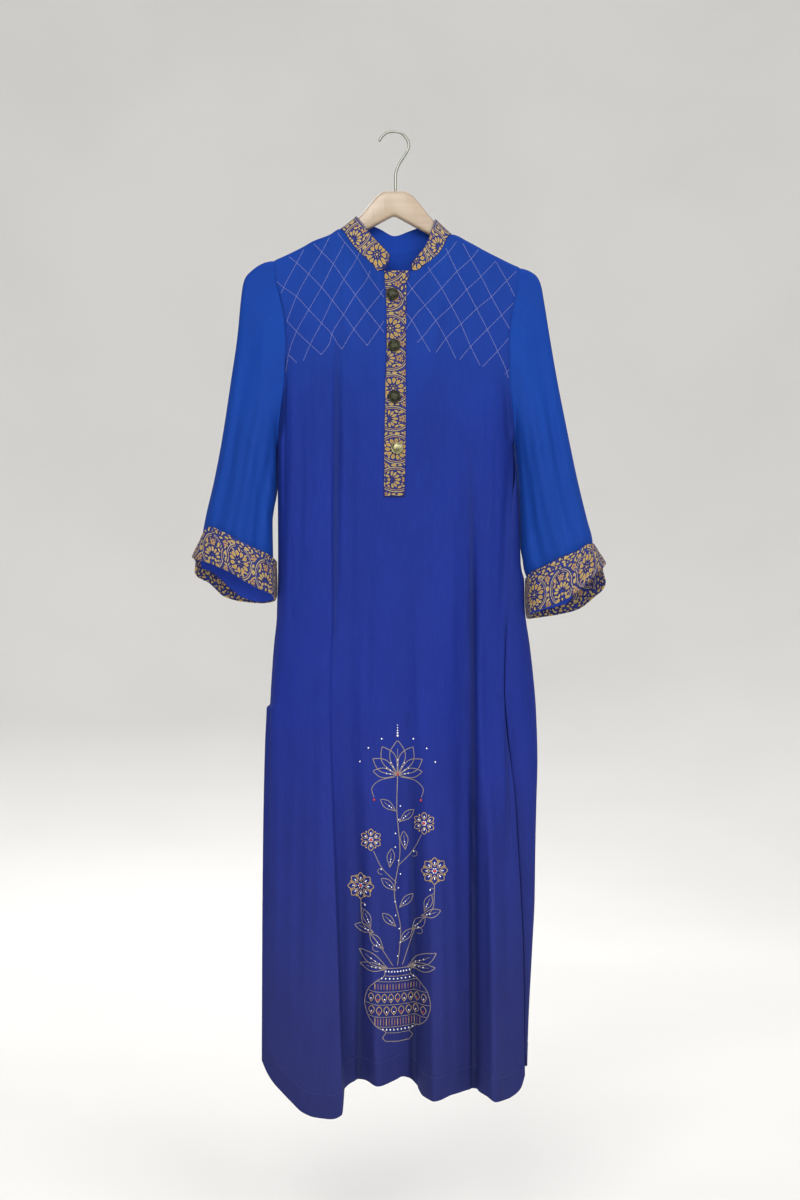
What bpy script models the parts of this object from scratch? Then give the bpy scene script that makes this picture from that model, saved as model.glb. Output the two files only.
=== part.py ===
"""Long kurti on a wooden hanger, built as cloth walls from its seam and fold lines.

Sizes are millimetres in the tables and metres in the mesh. The origin is the inside
top of the hanger hook, the front of the garment faces -Y and +Z is up.
"""
import math

import bpy
from mathutils import Vector

# Driving sizes (mm)
WALL = 1.3              # shell cloth with its print or lining bulk
BAND_WALL = 1.8         # doubled collar cloth
SEAM_GAP = 0.3          # space kept between two sewn pieces
SHOULDER_ROUND = 9.0    # cloth radius where it lies over the hanger arm
ARMPIT_DROP = -405.6
SLIT_TOP = {"left": -741.0, "right": -724.0}
PLACKET_LENGTH = 291.0
PLACKET_LIFT = 0.35
PLACKET_WALL = 1.7
BUTTON_DIA = 16.0
BUTTON_LIFT = 0.3
HOOK_WIRE_DIA = 3.6
HANGER_THICK = 12.0

# Shoulder line and outer sleeve line: (x, z) from the neck point outwards
SHOULDER_LEFT = [(-70.8, -124.8), (-84.6, -132.3), (-105.2, -140.3), (-119.3, -148.2),
                 (-138.2, -157.6), (-157.0, -166.3)]
SHOULDER_RIGHT = [(74.5, -131.9), (96.6, -141.7), (120.1, -154.4), (135.9, -162.4),
                  (151.7, -170.2), (164.0, -175.8)]
NECK_FRONT_LEFT = [(-70.8, -124.8), (-68.4, -126.6), (-64.3, -132.6), (-54.1, -148.0), (-46.1, -158.2),
                   (-37.0, -166.8), (-28.9, -174.5), (-21.2, -183.8)]
NECK_FRONT_RIGHT = [(25.2, -183.8), (41.2, -173.3), (56.9, -159.5), (63.0, -150.5),
                    (68.0, -139.5), (72.1, -133.8), (74.5, -131.9)]
NECK_BACK = [(-70.8, -124.8), (-68.4, -126.4), (-64.3, -131.0), (-56.0, -137.0), (-45.0, -141.5), (-20.0, -151.5), (0.5, -156.0),
             (22.0, -152.5), (46.0, -145.5), (60.0, -141.0), (68.0, -136.5), (72.1, -133.4), (74.5, -131.9)]

# Depth of the neck edges: (x, y)
NECK_FRONT_DEPTH = [(-70.8, 0.0), (-68.4, -7.6), (-64.3, -10.4), (-58.0, -12.8), (-46.0, -16.5), (-21.2, -25.0),
                    (2.0, -27.5), (25.2, -25.0), (48.0, -17.0), (61.0, -12.8), (68.0, -10.4),
                    (72.1, -7.6), (74.5, 0.0)]
NECK_BACK_DEPTH = [(-70.8, 0.0), (-68.4, 7.6), (-64.3, 10.4), (-56.0, 12.4), (-30.0, 15.5),
                   (0.0, 17.0), (30.0, 15.5), (60.0, 12.4), (68.0, 10.4), (72.1, 7.6),
                   (74.5, 0.0)]

# Edges of the body from the front: (z, x)
EDGE_LEFT = [(-166.3, -157.0), (-193.7, -154.3), (-207.2, -150.5), (-246.7, -142.6),
             (-285.5, -140.8), (-313.7, -141.5), (-349.3, -145.0), (-387.0, -150.5),
             (-405.6, -152.8), (-451.1, -152.4), (-555.1, -151.6), (-628.7, -153.5),
             (-665.3, -157.2), (-710.6, -160.8), (-766.4, -163.6), (-794.4, -164.7),
             (-929.7, -167.1), (-1060.5, -168.0), (-1196.9, -168.3)]
SLIT_STEP = 3.6         # the left slit edge stands out this far below the slit top
SEAM_RIGHT = [(-175.8, 164.0), (-206.9, 158.2), (-246.7, 151.3), (-285.5, 148.7),
              (-324.0, 148.7), (-349.3, 151.0), (-387.0, 154.8), (-405.6, 156.0),
              (-451.7, 154.0), (-503.8, 150.5), (-607.1, 146.1), (-722.6, 141.9),
              (-752.1, 143.5), (-885.9, 156.2), (-1014.9, 164.1), (-1061.6, 166.0),
              (-1150.0, 167.5), (-1222.0, 168.6)]
OUTLINE_RIGHT = [(-405.6, 156.0), (-477.1, 161.3), (-560.0, 164.6), (-630.5, 171.8),
                 (-703.3, 180.1), (-750.1, 184.0), (-815.1, 185.9), (-870.9, 184.5),
                 (-926.5, 183.2), (-995.8, 182.2), (-1056.5, 179.2), (-1149.2, 174.4),
                 (-1205.1, 172.4)]

# Depth of the body edges: (z, y of the front layer)
DEPTH_LEFT = [(-166.3, 0.0), (-176.0, -8.0), (-200.0, -16.0), (-246.0, -23.0), (-285.0, -25.0),
              (-330.0, -23.0), (-370.0, -17.0), (-392.0, -10.0), (-402.0, -4.5), (-405.6, 0.0),
              (-741.0, 0.0), (-800.0, -4.0), (-950.0, -8.0), (-1196.9, -12.0)]
DEPTH_RIGHT = [(-175.8, 0.0), (-186.0, -8.0), (-210.0, -16.0), (-250.0, -23.0), (-290.0, -25.0),
               (-335.0, -23.0), (-372.0, -17.0), (-393.0, -10.0), (-402.0, -4.5), (-405.6, 0.0),
               (-450.0, -8.0), (-520.0, -19.0), (-607.1, -27.0), (-722.6, -34.0),
               (-885.9, -30.0), (-1014.9, -26.0), (-1200.5, -20.0)]

# Front fold lines, left to right. across_top and across_hem are shares of the width,
# then the depth y of the line at each station height.
FRONT_STATIONS = (-300.0, -406.0, -560.0, -741.0, -980.0, -1235.0)
FRONT_FOLDS = [
    # name, across_top, across_hem, chest, armpit, waist, hip, knee, hem
    ("side_roll_a", 0.006, 0.008, -25.6, -5.5, -7.0, -8.0, -11.0, -15.0),
    ("side_roll_b", 0.020, 0.035, -27.0, -17.0, -18.0, -20.0, -22.0, -25.0),
    ("side_roll_c", 0.055, 0.090, -29.5, -25.0, -28.0, -30.0, -36.0, -44.0),
    ("broad_rise", 0.100, 0.147, -31.5, -31.0, -35.0, -38.0, -48.0, -60.0),
    ("broad_crest", 0.160, 0.224, -32.5, -34.0, -40.0, -44.0, -58.0, -72.0),
    ("fold_edge", 0.215, 0.305, -33.0, -35.0, -41.0, -47.0, -64.0, -80.0),
    ("fold_foot", 0.240, 0.317, -32.0, -33.5, -36.0, -40.0, -45.0, -47.0),
    ("valley_left", 0.300, 0.382, -34.0, -36.0, -38.0, -39.0, -36.0, -30.0),
    ("small_ridge", 0.380, 0.436, -36.0, -40.0, -43.0, -46.0, -49.0, -50.0),
    ("hollow_mid", 0.470, 0.502, -37.0, -42.0, -45.0, -48.0, -44.0, -37.0),
    ("valley_mid", 0.560, 0.575, -37.0, -42.0, -45.0, -46.0, -36.0, -26.0),
    ("ridge_right", 0.650, 0.649, -36.0, -41.0, -46.0, -53.0, -64.0, -75.0),
    ("slope_right", 0.740, 0.726, -35.0, -38.0, -43.0, -46.0, -52.0, -55.0),
    ("valley_right", 0.855, 0.807, -33.0, -33.0, -32.0, -29.0, -28.0, -27.0),
    ("ridge_side", 0.910, 0.873, -31.0, -29.0, -38.0, -44.0, -53.0, -60.0),
    ("hollow_side", 0.955, 0.930, -28.5, -21.0, -33.0, -39.0, -39.0, -38.0),
    ("side_roll_d", 0.983, 0.973, -26.5, -10.0, -25.0, -36.0, -31.0, -27.0),
]
# Front hem: (share of width at the hem, z)
FRONT_HEM = [(0.0, -1203.0), (0.020, -1216.5), (0.042, -1227.0), (0.075, -1237.5),
             (0.110, -1247.5), (0.155, -1258.0), (0.200, -1262.0), (0.250, -1262.5),
             (0.305, -1255.5), (0.317, -1229.0), (0.382, -1223.5), (0.436, -1227.6),
             (0.502, -1222.5), (0.530, -1219.0), (0.562, -1223.0), (0.582, -1232.0),
             (0.612, -1239.0), (0.649, -1240.5), (0.726, -1236.0), (0.790, -1236.0),
             (0.840, -1238.5), (0.885, -1245.5), (0.925, -1246.5), (0.960, -1242.5),
             (0.985, -1235.0), (1.0, -1220.0)]
# Back folds: share of width at top and hem, half width, height at hip and hem (+ is out)
BACK_FOLDS = [
    ("back_a", 0.16, 0.15, 0.085, 5.0, 16.0),
    ("back_b", 0.30, 0.33, 0.080, -3.0, -10.0),
    ("back_c", 0.44, 0.47, 0.090, 4.0, 14.0),
    ("back_d", 0.58, 0.61, 0.075, -3.0, -11.0),
    ("back_e", 0.72, 0.76, 0.085, 5.0, 15.0),
]
BACK_DEPTH = [(-160.0, 12.0), (-300.0, 20.0), (-406.0, 23.0), (-560.0, 25.0), (-741.0, 27.0),
              (-980.0, 29.0), (-1235.0, 31.0)]
BACK_HEM = [(0.0, -1188.0), (0.02, -1199.0), (0.05, -1209.0), (0.12, -1219.0), (0.25, -1222.0),
            (0.50, -1220.0), (0.75, -1221.0), (0.88, -1218.0), (0.96, -1209.0), (1.0, -1192.0)]

# Outer and inner lines of each sleeve: (x, z), shoulder or armpit first, cuff seam last
SLEEVE_OUTER = {
    "left": [(-157.0, -166.3), (-168.2, -168.6), (-177.2, -172.8), (-187.0, -180.2),
             (-193.6, -187.8), (-196.8, -196.8), (-198.6, -208.0), (-204.4, -266.0),
             (-212.4, -321.0), (-224.3, -399.1), (-234.2, -451.1), (-246.0, -503.0),
             (-252.5, -540.0)],
    "right": [(164.0, -175.8), (175.2, -179.7), (183.7, -185.2), (188.8, -193.2),
              (191.6, -203.0), (194.0, -217.0), (202.4, -269.0), (211.4, -321.0),
              (226.9, -399.1), (237.8, -451.1), (250.3, -503.0), (257.2, -530.0),
              (258.5, -550.0)],
}
SLEEVE_INNER = {
    "left": [(-152.8, -405.6), (-154.0, -440.0), (-154.6, -475.0), (-158.3, -505.0),
             (-157.8, -545.0), (-156.0, -583.0)],
    "right": [(156.0, -405.6), (159.0, -435.0), (162.3, -480.0), (164.6, -525.0),
              (167.8, -556.0), (169.8, -567.0), (173.8, -578.0), (176.8, -603.0)],
}
# Half depth of the sleeve, front and back, and its tilt, by share of its length
SLEEVE_DEPTH = {"front": [(0.0, 25.0), (0.3, 27.0), (0.6, 30.0), (1.0, 35.0)],
                "back": [(0.0, 20.0), (0.3, 24.0), (0.6, 29.0), (1.0, 36.0)]}
# Soft sleeve folds: share across from the outer line, half width, height, start and end share
SLEEVE_FOLDS = [
    ("outer_fold", 0.22, 0.13, -4.0, 0.25, 0.95),
    ("middle_fold", 0.50, 0.14, 4.5, 0.30, 1.00),
    ("inner_fold", 0.78, 0.12, -4.0, 0.20, 0.90),
]
SLEEVE_RINGS = (0.0, 0.035, 0.085, 0.15, 0.225, 0.31, 0.40, 0.49, 0.58, 0.67, 0.76, 0.84,
                0.91, 0.96, 1.0)

# Cuff edges from the front: share across from the outer side, x, z
CUFF_TOP = {
    "left": [(0.0, -251.5, -529.0), (0.08, -246.0, -520.5), (0.19, -236.0, -512.5),
             (0.31, -222.0, -518.0), (0.50, -199.0, -530.5), (0.70, -178.0, -541.0),
             (0.90, -161.5, -548.5), (1.0, -154.6, -556.0)],
    "right": [(0.0, 261.4, -541.5), (0.08, 256.0, -534.5), (0.19, 248.0, -535.0),
              (0.35, 233.6, -543.8), (0.55, 212.0, -552.5), (0.75, 193.8, -562.5),
              (0.92, 177.6, -570.1), (1.0, 171.8, -579.0)],
}
CUFF_FOLD_FRONT = {
    "left": [(0.0, -261.5, -553.0), (0.06, -253.5, -554.0), (0.19, -235.4, -560.5),
             (0.40, -211.0, -571.0), (0.60, -190.0, -583.0), (0.80, -170.6, -593.3),
             (0.94, -156.5, -600.0), (1.0, -154.2, -604.5)],
    "right": [(0.0, 272.6, -559.5), (0.06, 269.5, -567.0), (0.19, 256.0, -581.5),
              (0.40, 232.0, -598.0), (0.60, 211.0, -608.5), (0.80, 190.0, -615.5),
              (0.94, 176.0, -619.5), (1.0, 173.6, -625.5)],
}
CUFF_FOLD_BACK = {
    "left": [(0.0, -261.5, -553.0), (0.06, -260.0, -569.0), (0.19, -243.0, -584.6),
             (0.40, -224.0, -602.3), (0.60, -200.0, -609.0), (0.80, -174.0, -611.0),
             (0.94, -157.0, -608.0), (1.0, -154.2, -604.5)],
    "right": [(0.0, 272.6, -559.5), (0.06, 275.5, -582.0), (0.19, 262.0, -604.0),
              (0.40, 241.0, -619.5), (0.60, 218.0, -625.5), (0.80, 195.0, -629.0),
              (0.94, 176.0, -631.5), (1.0, 173.6, -625.5)],
}
CUFF_DEPTH = 41.0

# Collar top edge, from the left front end round the back to the right front end:
# (x, y, z) at named places
COLLAR_TOP_FRONT_LEFT = [(-5.2, -30.0, -163.4), (-13.2, -25.0, -153.5), (-19.2, -21.5, -147.0),
                         (-27.1, -17.0, -138.1), (-34.7, -13.8, -128.3), (-41.5, -11.2, -119.2),
                         (-46.4, -10.2, -113.0), (-48.6, -7.4, -109.9), (-49.4, 0.0, -108.2)]
COLLAR_TOP_BACK = [(-49.4, 0.0, -108.2), (-48.8, 7.4, -109.4), (-46.5, 10.2, -111.4),
                   (-37.3, 14.5, -114.4),
                   (-19.0, 19.0, -121.7), (0.1, 21.0, -130.5), (20.2, 19.0, -124.1),
                   (38.5, 14.5, -118.4), (49.9, 10.2, -115.2), (52.7, 7.4, -113.4), (53.3, 0.0, -112.1)]
COLLAR_TOP_FRONT_RIGHT = [(53.3, 0.0, -112.1), (52.6, -7.4, -114.0), (51.0, -10.2, -118.6),
                          (46.0, -12.0, -132.8), (41.3, -15.0, -145.9),
                          (32.5, -22.0, -159.8), (22.3, -29.0, -173.3)]
COLLAR_END = {
    "left": [(-21.2, -183.5), (-13.5, -181.2), (-9.2, -176.5), (-6.6, -168.8), (-5.2, -163.4)],
    "right": [(25.2, -183.5), (22.0, -181.0), (21.6, -178.3), (21.8, -175.8), (22.3, -173.3)],
}

BUTTON_ROWS = [("button_1", -2.5, -214.0), ("button_2", -0.3, -280.8),
               ("button_3", 0.1, -347.1), ("button_4", 3.4, -412.9)]

# Hanger: top edge, arm height and the sections; hook wire centre line (x, z)
HANGER_TOP = [(-158.0, -174.5), (-138.2, -162.2), (-105.2, -145.0), (-84.6, -137.0),
              (-70.0, -129.5), (-56.0, -118.0), (-43.0, -106.4), (-27.0, -87.4),
              (-17.8, -78.6), (-11.2, -75.8), (11.4, -75.8), (22.0, -80.6), (32.6, -92.4),
              (41.9, -104.0), (53.0, -116.5), (62.0, -126.0), (72.0, -135.0),
              (96.6, -147.0), (120.1, -159.4), (151.7, -175.0), (164.0, -182.5)]
HANGER_UNDER = [(-158.0, -189.0), (-138.2, -180.0), (-105.2, -164.6), (-75.0, -148.5),
                (-34.5, -126.0), (-0.7, -108.0), (46.5, -133.5), (75.0, -149.5),
                (96.6, -161.0), (120.1, -173.5), (151.7, -190.0), (164.0, -195.5)]
HOOK_LINE = [(-19.8, -11.4), (-18.4, -7.4), (-15.1, -3.5), (-8.5, 1.0), (-1.9, 1.9), (5.9, 1.0),
             (11.0, -1.6), (14.8, -6.2), (18.2, -12.4), (18.7, -17.0), (16.6, -23.1),
             (10.0, -33.8), (5.6, -41.0), (3.0, -47.5), (1.2, -55.2), (1.2, -75.4)]


def smoothstep(a, b, x):
    t = min(1.0, max(0.0, (x - a) / (b - a)))
    return t * t * (3.0 - 2.0 * t)


def lerp(a, b, t):
    return a + (b - a) * t


def curve(points):
    """Smooth curve through (x, y) points that never overshoots between them."""
    pts = sorted(points)
    xs = [p[0] for p in pts]
    ys = [p[1] for p in pts]
    n = len(xs)
    slope = [(ys[i + 1] - ys[i]) / (xs[i + 1] - xs[i]) for i in range(n - 1)]
    grad = [slope[0]] + [0.0] * (n - 2) + [slope[-1]]
    for i in range(1, n - 1):
        if slope[i - 1] * slope[i] > 0.0:
            wa = 2 * (xs[i + 1] - xs[i]) + (xs[i] - xs[i - 1])
            wb = (xs[i + 1] - xs[i]) + 2 * (xs[i] - xs[i - 1])
            grad[i] = (wa + wb) / (wa / slope[i - 1] + wb / slope[i])

    def value(x):
        if x <= xs[0]:
            return ys[0]
        if x >= xs[-1]:
            return ys[-1]
        i = 0
        while x > xs[i + 1]:
            i += 1
        h = xs[i + 1] - xs[i]
        t = (x - xs[i]) / h
        a = (1 + 2 * t) * (1 - t) ** 2
        b = t * (1 - t) ** 2
        c = t * t * (3 - 2 * t)
        d = t * t * (t - 1)
        return a * ys[i] + b * h * grad[i] + c * ys[i + 1] + d * h * grad[i + 1]

    return value


def path(points):
    """Smooth path through points of any size, by share of its length."""
    lengths = [0.0]
    for a, b in zip(points, points[1:]):
        lengths.append(lengths[-1] + math.dist(a, b))
    total = lengths[-1]
    axes = [curve([(lengths[i] / total, p[k]) for i, p in enumerate(points)])
            for k in range(len(points[0]))]
    return lambda t: tuple(axis(t) for axis in axes)


edge_left = curve(EDGE_LEFT)
seam_right = curve(SEAM_RIGHT)
outline_right_low = curve(OUTLINE_RIGHT)
depth_left = curve(DEPTH_LEFT)
depth_right = curve(DEPTH_RIGHT)
front_top = curve(SHOULDER_LEFT[::-1][:-1] + NECK_FRONT_LEFT + NECK_FRONT_RIGHT
                  + SHOULDER_RIGHT[1:])
back_top = curve(SHOULDER_LEFT[::-1][:-1] + NECK_BACK + SHOULDER_RIGHT[1:])
front_hem = curve(FRONT_HEM)
back_hem = curve(BACK_HEM)
neck_front_depth = curve(NECK_FRONT_DEPTH)
neck_back_depth = curve(NECK_BACK_DEPTH)
back_depth = curve(BACK_DEPTH)
NECK_X = (NECK_FRONT_LEFT[0][0], NECK_FRONT_RIGHT[-1][0])
fold_across = [curve([(-1235.0, row[2]), (-300.0, row[1])]) for row in FRONT_FOLDS]
fold_depth = [curve([(-150.0, 0.8 * row[3])] + list(zip(FRONT_STATIONS, row[3:])))
              for row in FRONT_FOLDS]
FOLD_SHARES = [row[2] for row in FRONT_FOLDS]


def outline_right(z):
    return outline_right_low(z) if z < ARMPIT_DROP else seam_right(z)


def open_slit(side, z, reach):
    """How far a slit has opened at height z, 0 at its top and 1 reach below."""
    return smoothstep(0.0, reach, SLIT_TOP[side] - z)


def shoulder_arc(h):
    """Depth of cloth that rolls over the hanger arm, h below the top line."""
    t = min(1.0, h / SHOULDER_ROUND)
    return SHOULDER_ROUND * math.sqrt(max(0.0, 1.0 - (1.0 - t) ** 2))


def front_section(z):
    """Curves of width share and depth over the column share at height z."""
    across = [(0.0, 0.0)] + list(zip(FOLD_SHARES, [f(z) for f in fold_across])) + [(1.0, 1.0)]
    depth = ([(0.0, depth_left(z))] + list(zip(FOLD_SHARES, [f(z) for f in fold_depth]))
             + [(1.0, depth_right(z))])
    return curve(across), curve(depth)


def front_point(s, z, h, section=None):
    across, depth = section or front_section(z)
    x = lerp(edge_left(z), seam_right(z), across(s))
    x -= SLIT_STEP * open_slit("left", z, 6.0) * (1.0 - smoothstep(0.0, 0.12, s))
    y_low = depth(s)
    y_top = -shoulder_arc(h)
    if NECK_X[0] < x < NECK_X[1]:
        y_top = min(y_top, neck_front_depth(x) - 0.02 * h)
    grow = smoothstep(0.0, 150.0, h)
    return Vector((x, lerp(y_top, y_low, grow), z))


def solve_share(x_goal, top, across_of):
    """Column share whose top end lies at x_goal."""
    z = top(x_goal)
    across = across_of(z)
    goal = (x_goal - edge_left(z)) / (seam_right(z) - edge_left(z))
    low, high = 0.0, 1.0
    for _ in range(40):
        mid = (low + high) / 2
        if across(mid) < goal:
            low = mid
        else:
            high = mid
    return (low + high) / 2


def share_at(x, top):
    z = top(x)
    return (x - edge_left(z)) / (seam_right(z) - edge_left(z))


def column_top(s, top, across_of):
    """Place where column s meets the top line."""
    z = (SHOULDER_LEFT[-1][1] + SHOULDER_RIGHT[-1][1]) / 2
    if s <= 0.0:
        return SHOULDER_LEFT[-1]
    if s >= 1.0:
        return SHOULDER_RIGHT[-1]
    x = 0.0
    for _ in range(120):
        x = lerp(edge_left(z), seam_right(z), across_of(z)(s))
        z = lerp(z, top(x), 0.3)
    return x, z


# Row heights: share of the way from top line to armpit, armpit to slit, slit to hem
ZONE_ARM = (0.0, 0.006, 0.024, 0.054, 0.105, 0.19, 0.30, 0.43, 0.56, 0.69, 0.81, 0.90, 0.965,
            1.0)
ZONE_SIDE = (0.0, 0.06, 0.16, 0.28, 0.41, 0.54, 0.67, 0.80, 0.91, 1.0)
ZONE_SLIT = (0.0, 0.013, 0.09, 0.20, 0.32, 0.44, 0.56, 0.68, 0.80, 0.91, 1.0)


def row_heights(s, z_top, z_hem):
    z_slit = lerp(SLIT_TOP["left"], SLIT_TOP["right"], s)
    rows = [lerp(z_top, ARMPIT_DROP, t) for t in ZONE_ARM]
    rows += [lerp(ARMPIT_DROP, z_slit, t) for t in ZONE_SIDE[1:]]
    rows += [lerp(z_slit, z_hem, t) for t in ZONE_SLIT[1:]]
    return rows


ARM_ROWS = len(ZONE_ARM)
SLIT_ROW = len(ZONE_ARM) + len(ZONE_SIDE) - 2


def merged(shares, keys, apart):
    """Column shares with the key ones kept exactly."""
    kept = [s for s in shares if all(abs(s - k) > apart for k in keys)]
    return sorted(kept + list(keys))


def front_across(z):
    return front_section(z)[0]


PLACKET_X = (-13.0, 15.9)
FRONT_KEYS = [solve_share(x, front_top, front_across)
              for x in (NECK_X[0], NECK_X[0] + 2.4, NECK_X[0] + 6.5, NECK_FRONT_LEFT[-1][0],
                        PLACKET_X[0], PLACKET_X[1], NECK_FRONT_RIGHT[0][0], NECK_X[1] - 6.5,
                        NECK_X[1] - 2.4, NECK_X[1])]
FRONT_COLUMNS = merged(
    [0.0, 0.009, 0.024, 0.048, 0.080, 0.118, 0.160, 0.205, 0.250, 0.288, 0.305, 0.317, 0.331,
     0.355, 0.382, 0.409, 0.436, 0.469, 0.502, 0.538, 0.575, 0.600, 0.625, 0.652, 0.688, 0.726, 0.767,
     0.807, 0.840, 0.873, 0.905, 0.937, 0.965, 0.988, 1.0],
    FRONT_KEYS, 0.0095)


def front_grid(columns):
    grid = []
    for s in columns:
        x_top, z_top = column_top(s, front_top, front_across)
        z_hem = front_hem(s)
        grid.append([front_point(s, z, z_top - z) for z in row_heights(s, z_top, z_hem)])
    return grid


BACK_TURN = share_at(column_top(0.905, front_top, front_across)[0], back_top)


def back_share(f, z):
    """Share along the back path: above 1 it has turned the right side to the front."""
    turned = smoothstep(0.0, 70.0, ARMPIT_DROP - z)
    if f <= BACK_TURN:
        return f * lerp(1.0, 1.0 / BACK_TURN, turned)
    rest = (f - BACK_TURN) / (1.0 - BACK_TURN)
    return lerp(f, 1.0 + rest, turned)


def back_end(z):
    """End of the back layer at the right seam or slit."""
    slack = open_slit("right", z, 90.0)
    x = seam_right(z) + 0.8 * slack
    y = -depth_right(z) if z > ARMPIT_DROP else depth_right(z) + 8.0 * slack
    return x, y


def back_left_edge(z):
    slack = open_slit("left", z, 120.0)
    x = edge_left(z) + 5.0 * slack
    y = -depth_left(z) if z > ARMPIT_DROP else 11.0 * slack
    return x, y


def back_point(f, z, h):
    p = back_share(f, z)
    x_left, y_left = back_left_edge(z)
    x_out = outline_right(z)
    x_end, y_end = back_end(z)
    if p <= 1.0:
        x = lerp(x_left, x_out, p)
        edge_y = lerp(y_left, y_end if z >= ARMPIT_DROP else 0.0, p)
        arch = max(0.0, 1.0 - abs(2.0 * p - 1.0) ** 2.6) ** 0.5
        y_low = edge_y + (back_depth(z) - edge_y) * arch
        for _, f_top, f_hem, half, hip, hem in BACK_FOLDS:
            drop = smoothstep(-330.0, -1235.0, z) if z > -330.0 else min(
                1.0, (-330.0 - z) / 905.0)
            centre = lerp(f_top, f_hem, drop)
            height = lerp(0.0, hip, min(1.0, drop / 0.45))
            if drop > 0.45:
                height = lerp(hip, hem, (drop - 0.45) / 0.55)
            d = (p - centre) / half
            if abs(d) < 1.0:
                y_low += height * 0.5 * (1.0 + math.cos(math.pi * d))
    else:
        b = math.pi / 2 * (p - 1.0)
        x = x_out - (x_out - x_end) * (1.0 - math.cos(b))
        y_low = y_end * math.sin(b)
    y_top = shoulder_arc(h)
    if NECK_X[0] < x < NECK_X[1]:
        y_top = max(y_top, neck_back_depth(x) + 0.02 * h)
    grow = smoothstep(0.0, 150.0, h)
    return Vector((x, lerp(y_top, y_low, grow), z))


def plain_across(z):
    return lambda s: s


def back_columns():
    """Shoulder columns meet those of the front, the rest are the back's own."""
    tops = [column_top(s, front_top, front_across)[0] for s in FRONT_COLUMNS]
    shoulder = [x for x in tops[1:-1] if x <= NECK_X[0] + 0.01 or x >= NECK_X[1] - 0.01]
    shares = [share_at(x, back_top) for x in shoulder]
    neck = [share_at(x, back_top) for x in (-68.4, -64.3, -55.0, -39.0, -20.0, 0.1, 20.0, 38.0,
                                            51.0, 60.0, 68.0, 72.1)]
    return [0.0] + sorted(shares + neck) + [1.0]


def back_grid(columns):
    grid = []
    for f in columns:
        x_top, z_top = column_top(f, back_top, plain_across)
        rows = row_heights(f, z_top, back_hem(f))
        grid.append([back_point(f, z, z_top - z) for z in rows])
    return grid


def normals(grid, around=False):
    """Unit normal at each grid point, from its neighbours."""
    nu, nv = len(grid), len(grid[0])
    out = []
    for i in range(nu):
        column = []
        for j in range(nv):
            if around:
                a, b = grid[(i - 1) % nu][j], grid[(i + 1) % nu][j]
            else:
                a, b = grid[max(0, i - 1)][j], grid[min(nu - 1, i + 1)][j]
            c, d = grid[i][max(0, j - 1)], grid[i][min(nv - 1, j + 1)]
            column.append((b - a).cross(d - c).normalized())
        out.append(column)
    return out


def oriented(grid, sample, direction, around=False):
    """Normals of a grid, turned so that the sample one looks along direction."""
    field = normals(grid, around)
    if field[sample[0]][sample[1]].dot(Vector(direction)) < 0.0:
        field = [[-n for n in column] for column in field]
    return field


def piece(grid, sample, direction, around=False):
    field = oriented(grid, sample, direction, around)
    return {"grid": grid, "around": around,
            "inward": [[-n for n in column] for column in field],
            "shift": [[Vector() for _ in column] for column in grid]}


def sew(part, spots, frames, sign, turn=None):
    """Give border points the seam's inward direction and draw them back from the seam."""
    for number, ((i, j), (inward, across)) in enumerate(zip(spots, frames)):
        if turn is None or number in turn:
            part["inward"][i][j] = inward
        part["shift"][i][j] = part["shift"][i][j] + across * (sign * SEAM_GAP / 2)


def new_object(name, verts, faces, material):
    mesh = bpy.data.meshes.new(name)
    mesh.from_pydata([tuple(c * 0.001 for c in v) for v in verts], [], faces)
    mesh.validate()
    mesh.update()
    mesh.materials.append(material)
    obj = bpy.data.objects.new(name, mesh)
    bpy.context.collection.objects.link(obj)
    return obj


def signed_volume(verts, faces):
    total = 0.0
    for face in faces:
        for k in range(1, len(face) - 1):
            total += verts[face[0]].dot(verts[face[k]].cross(verts[face[k + 1]]))
    return total


def wall_object(name, outer, inner, material, around=False):
    """Closed wall between two matching grids, with rims where the cloth ends."""
    nu, nv = len(outer), len(outer[0])
    verts = [Vector(p) for column in outer for p in column]
    verts += [Vector(p) for column in inner for p in column]
    count = nu * nv

    def at(i, j, side):
        return side * count + (i % nu) * nv + j

    faces = []
    for i in range(nu if around else nu - 1):
        for j in range(nv - 1):
            faces.append((at(i, j, 0), at(i + 1, j, 0), at(i + 1, j + 1, 0), at(i, j + 1, 0)))
            faces.append((at(i, j, 1), at(i, j + 1, 1), at(i + 1, j + 1, 1), at(i + 1, j, 1)))
        faces.append((at(i, 0, 0), at(i, 0, 1), at(i + 1, 0, 1), at(i + 1, 0, 0)))
        faces.append((at(i, nv - 1, 0), at(i + 1, nv - 1, 0), at(i + 1, nv - 1, 1),
                      at(i, nv - 1, 1)))
    if not around:
        for j in range(nv - 1):
            faces.append((at(0, j, 0), at(0, j + 1, 0), at(0, j + 1, 1), at(0, j, 1)))
            faces.append((at(nu - 1, j, 0), at(nu - 1, j, 1), at(nu - 1, j + 1, 1),
                          at(nu - 1, j + 1, 0)))
    if signed_volume(verts, faces) < 0.0:
        faces = [tuple(reversed(f)) for f in faces]
    return new_object(name, verts, faces, material)


def build_piece(name, part, wall, material):
    outer = [[p + d for p, d in zip(ca, cb)] for ca, cb in zip(part["grid"], part["shift"])]
    inner = [[p + d * wall for p, d in zip(ca, cb)] for ca, cb in zip(outer, part["inward"])]
    part["outer"] = outer
    return wall_object(name, outer, inner, material, part["around"])


def material(name, colour, roughness, metallic=0.0):
    mat = bpy.data.materials.new(name)
    mat.use_nodes = True
    shader = mat.node_tree.nodes["Principled BSDF"]
    shader.inputs["Base Color"].default_value = (*colour, 1.0)
    shader.inputs["Roughness"].default_value = roughness
    shader.inputs["Metallic"].default_value = metallic
    mat.diffuse_color = (*colour, 1.0)
    return mat


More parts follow.
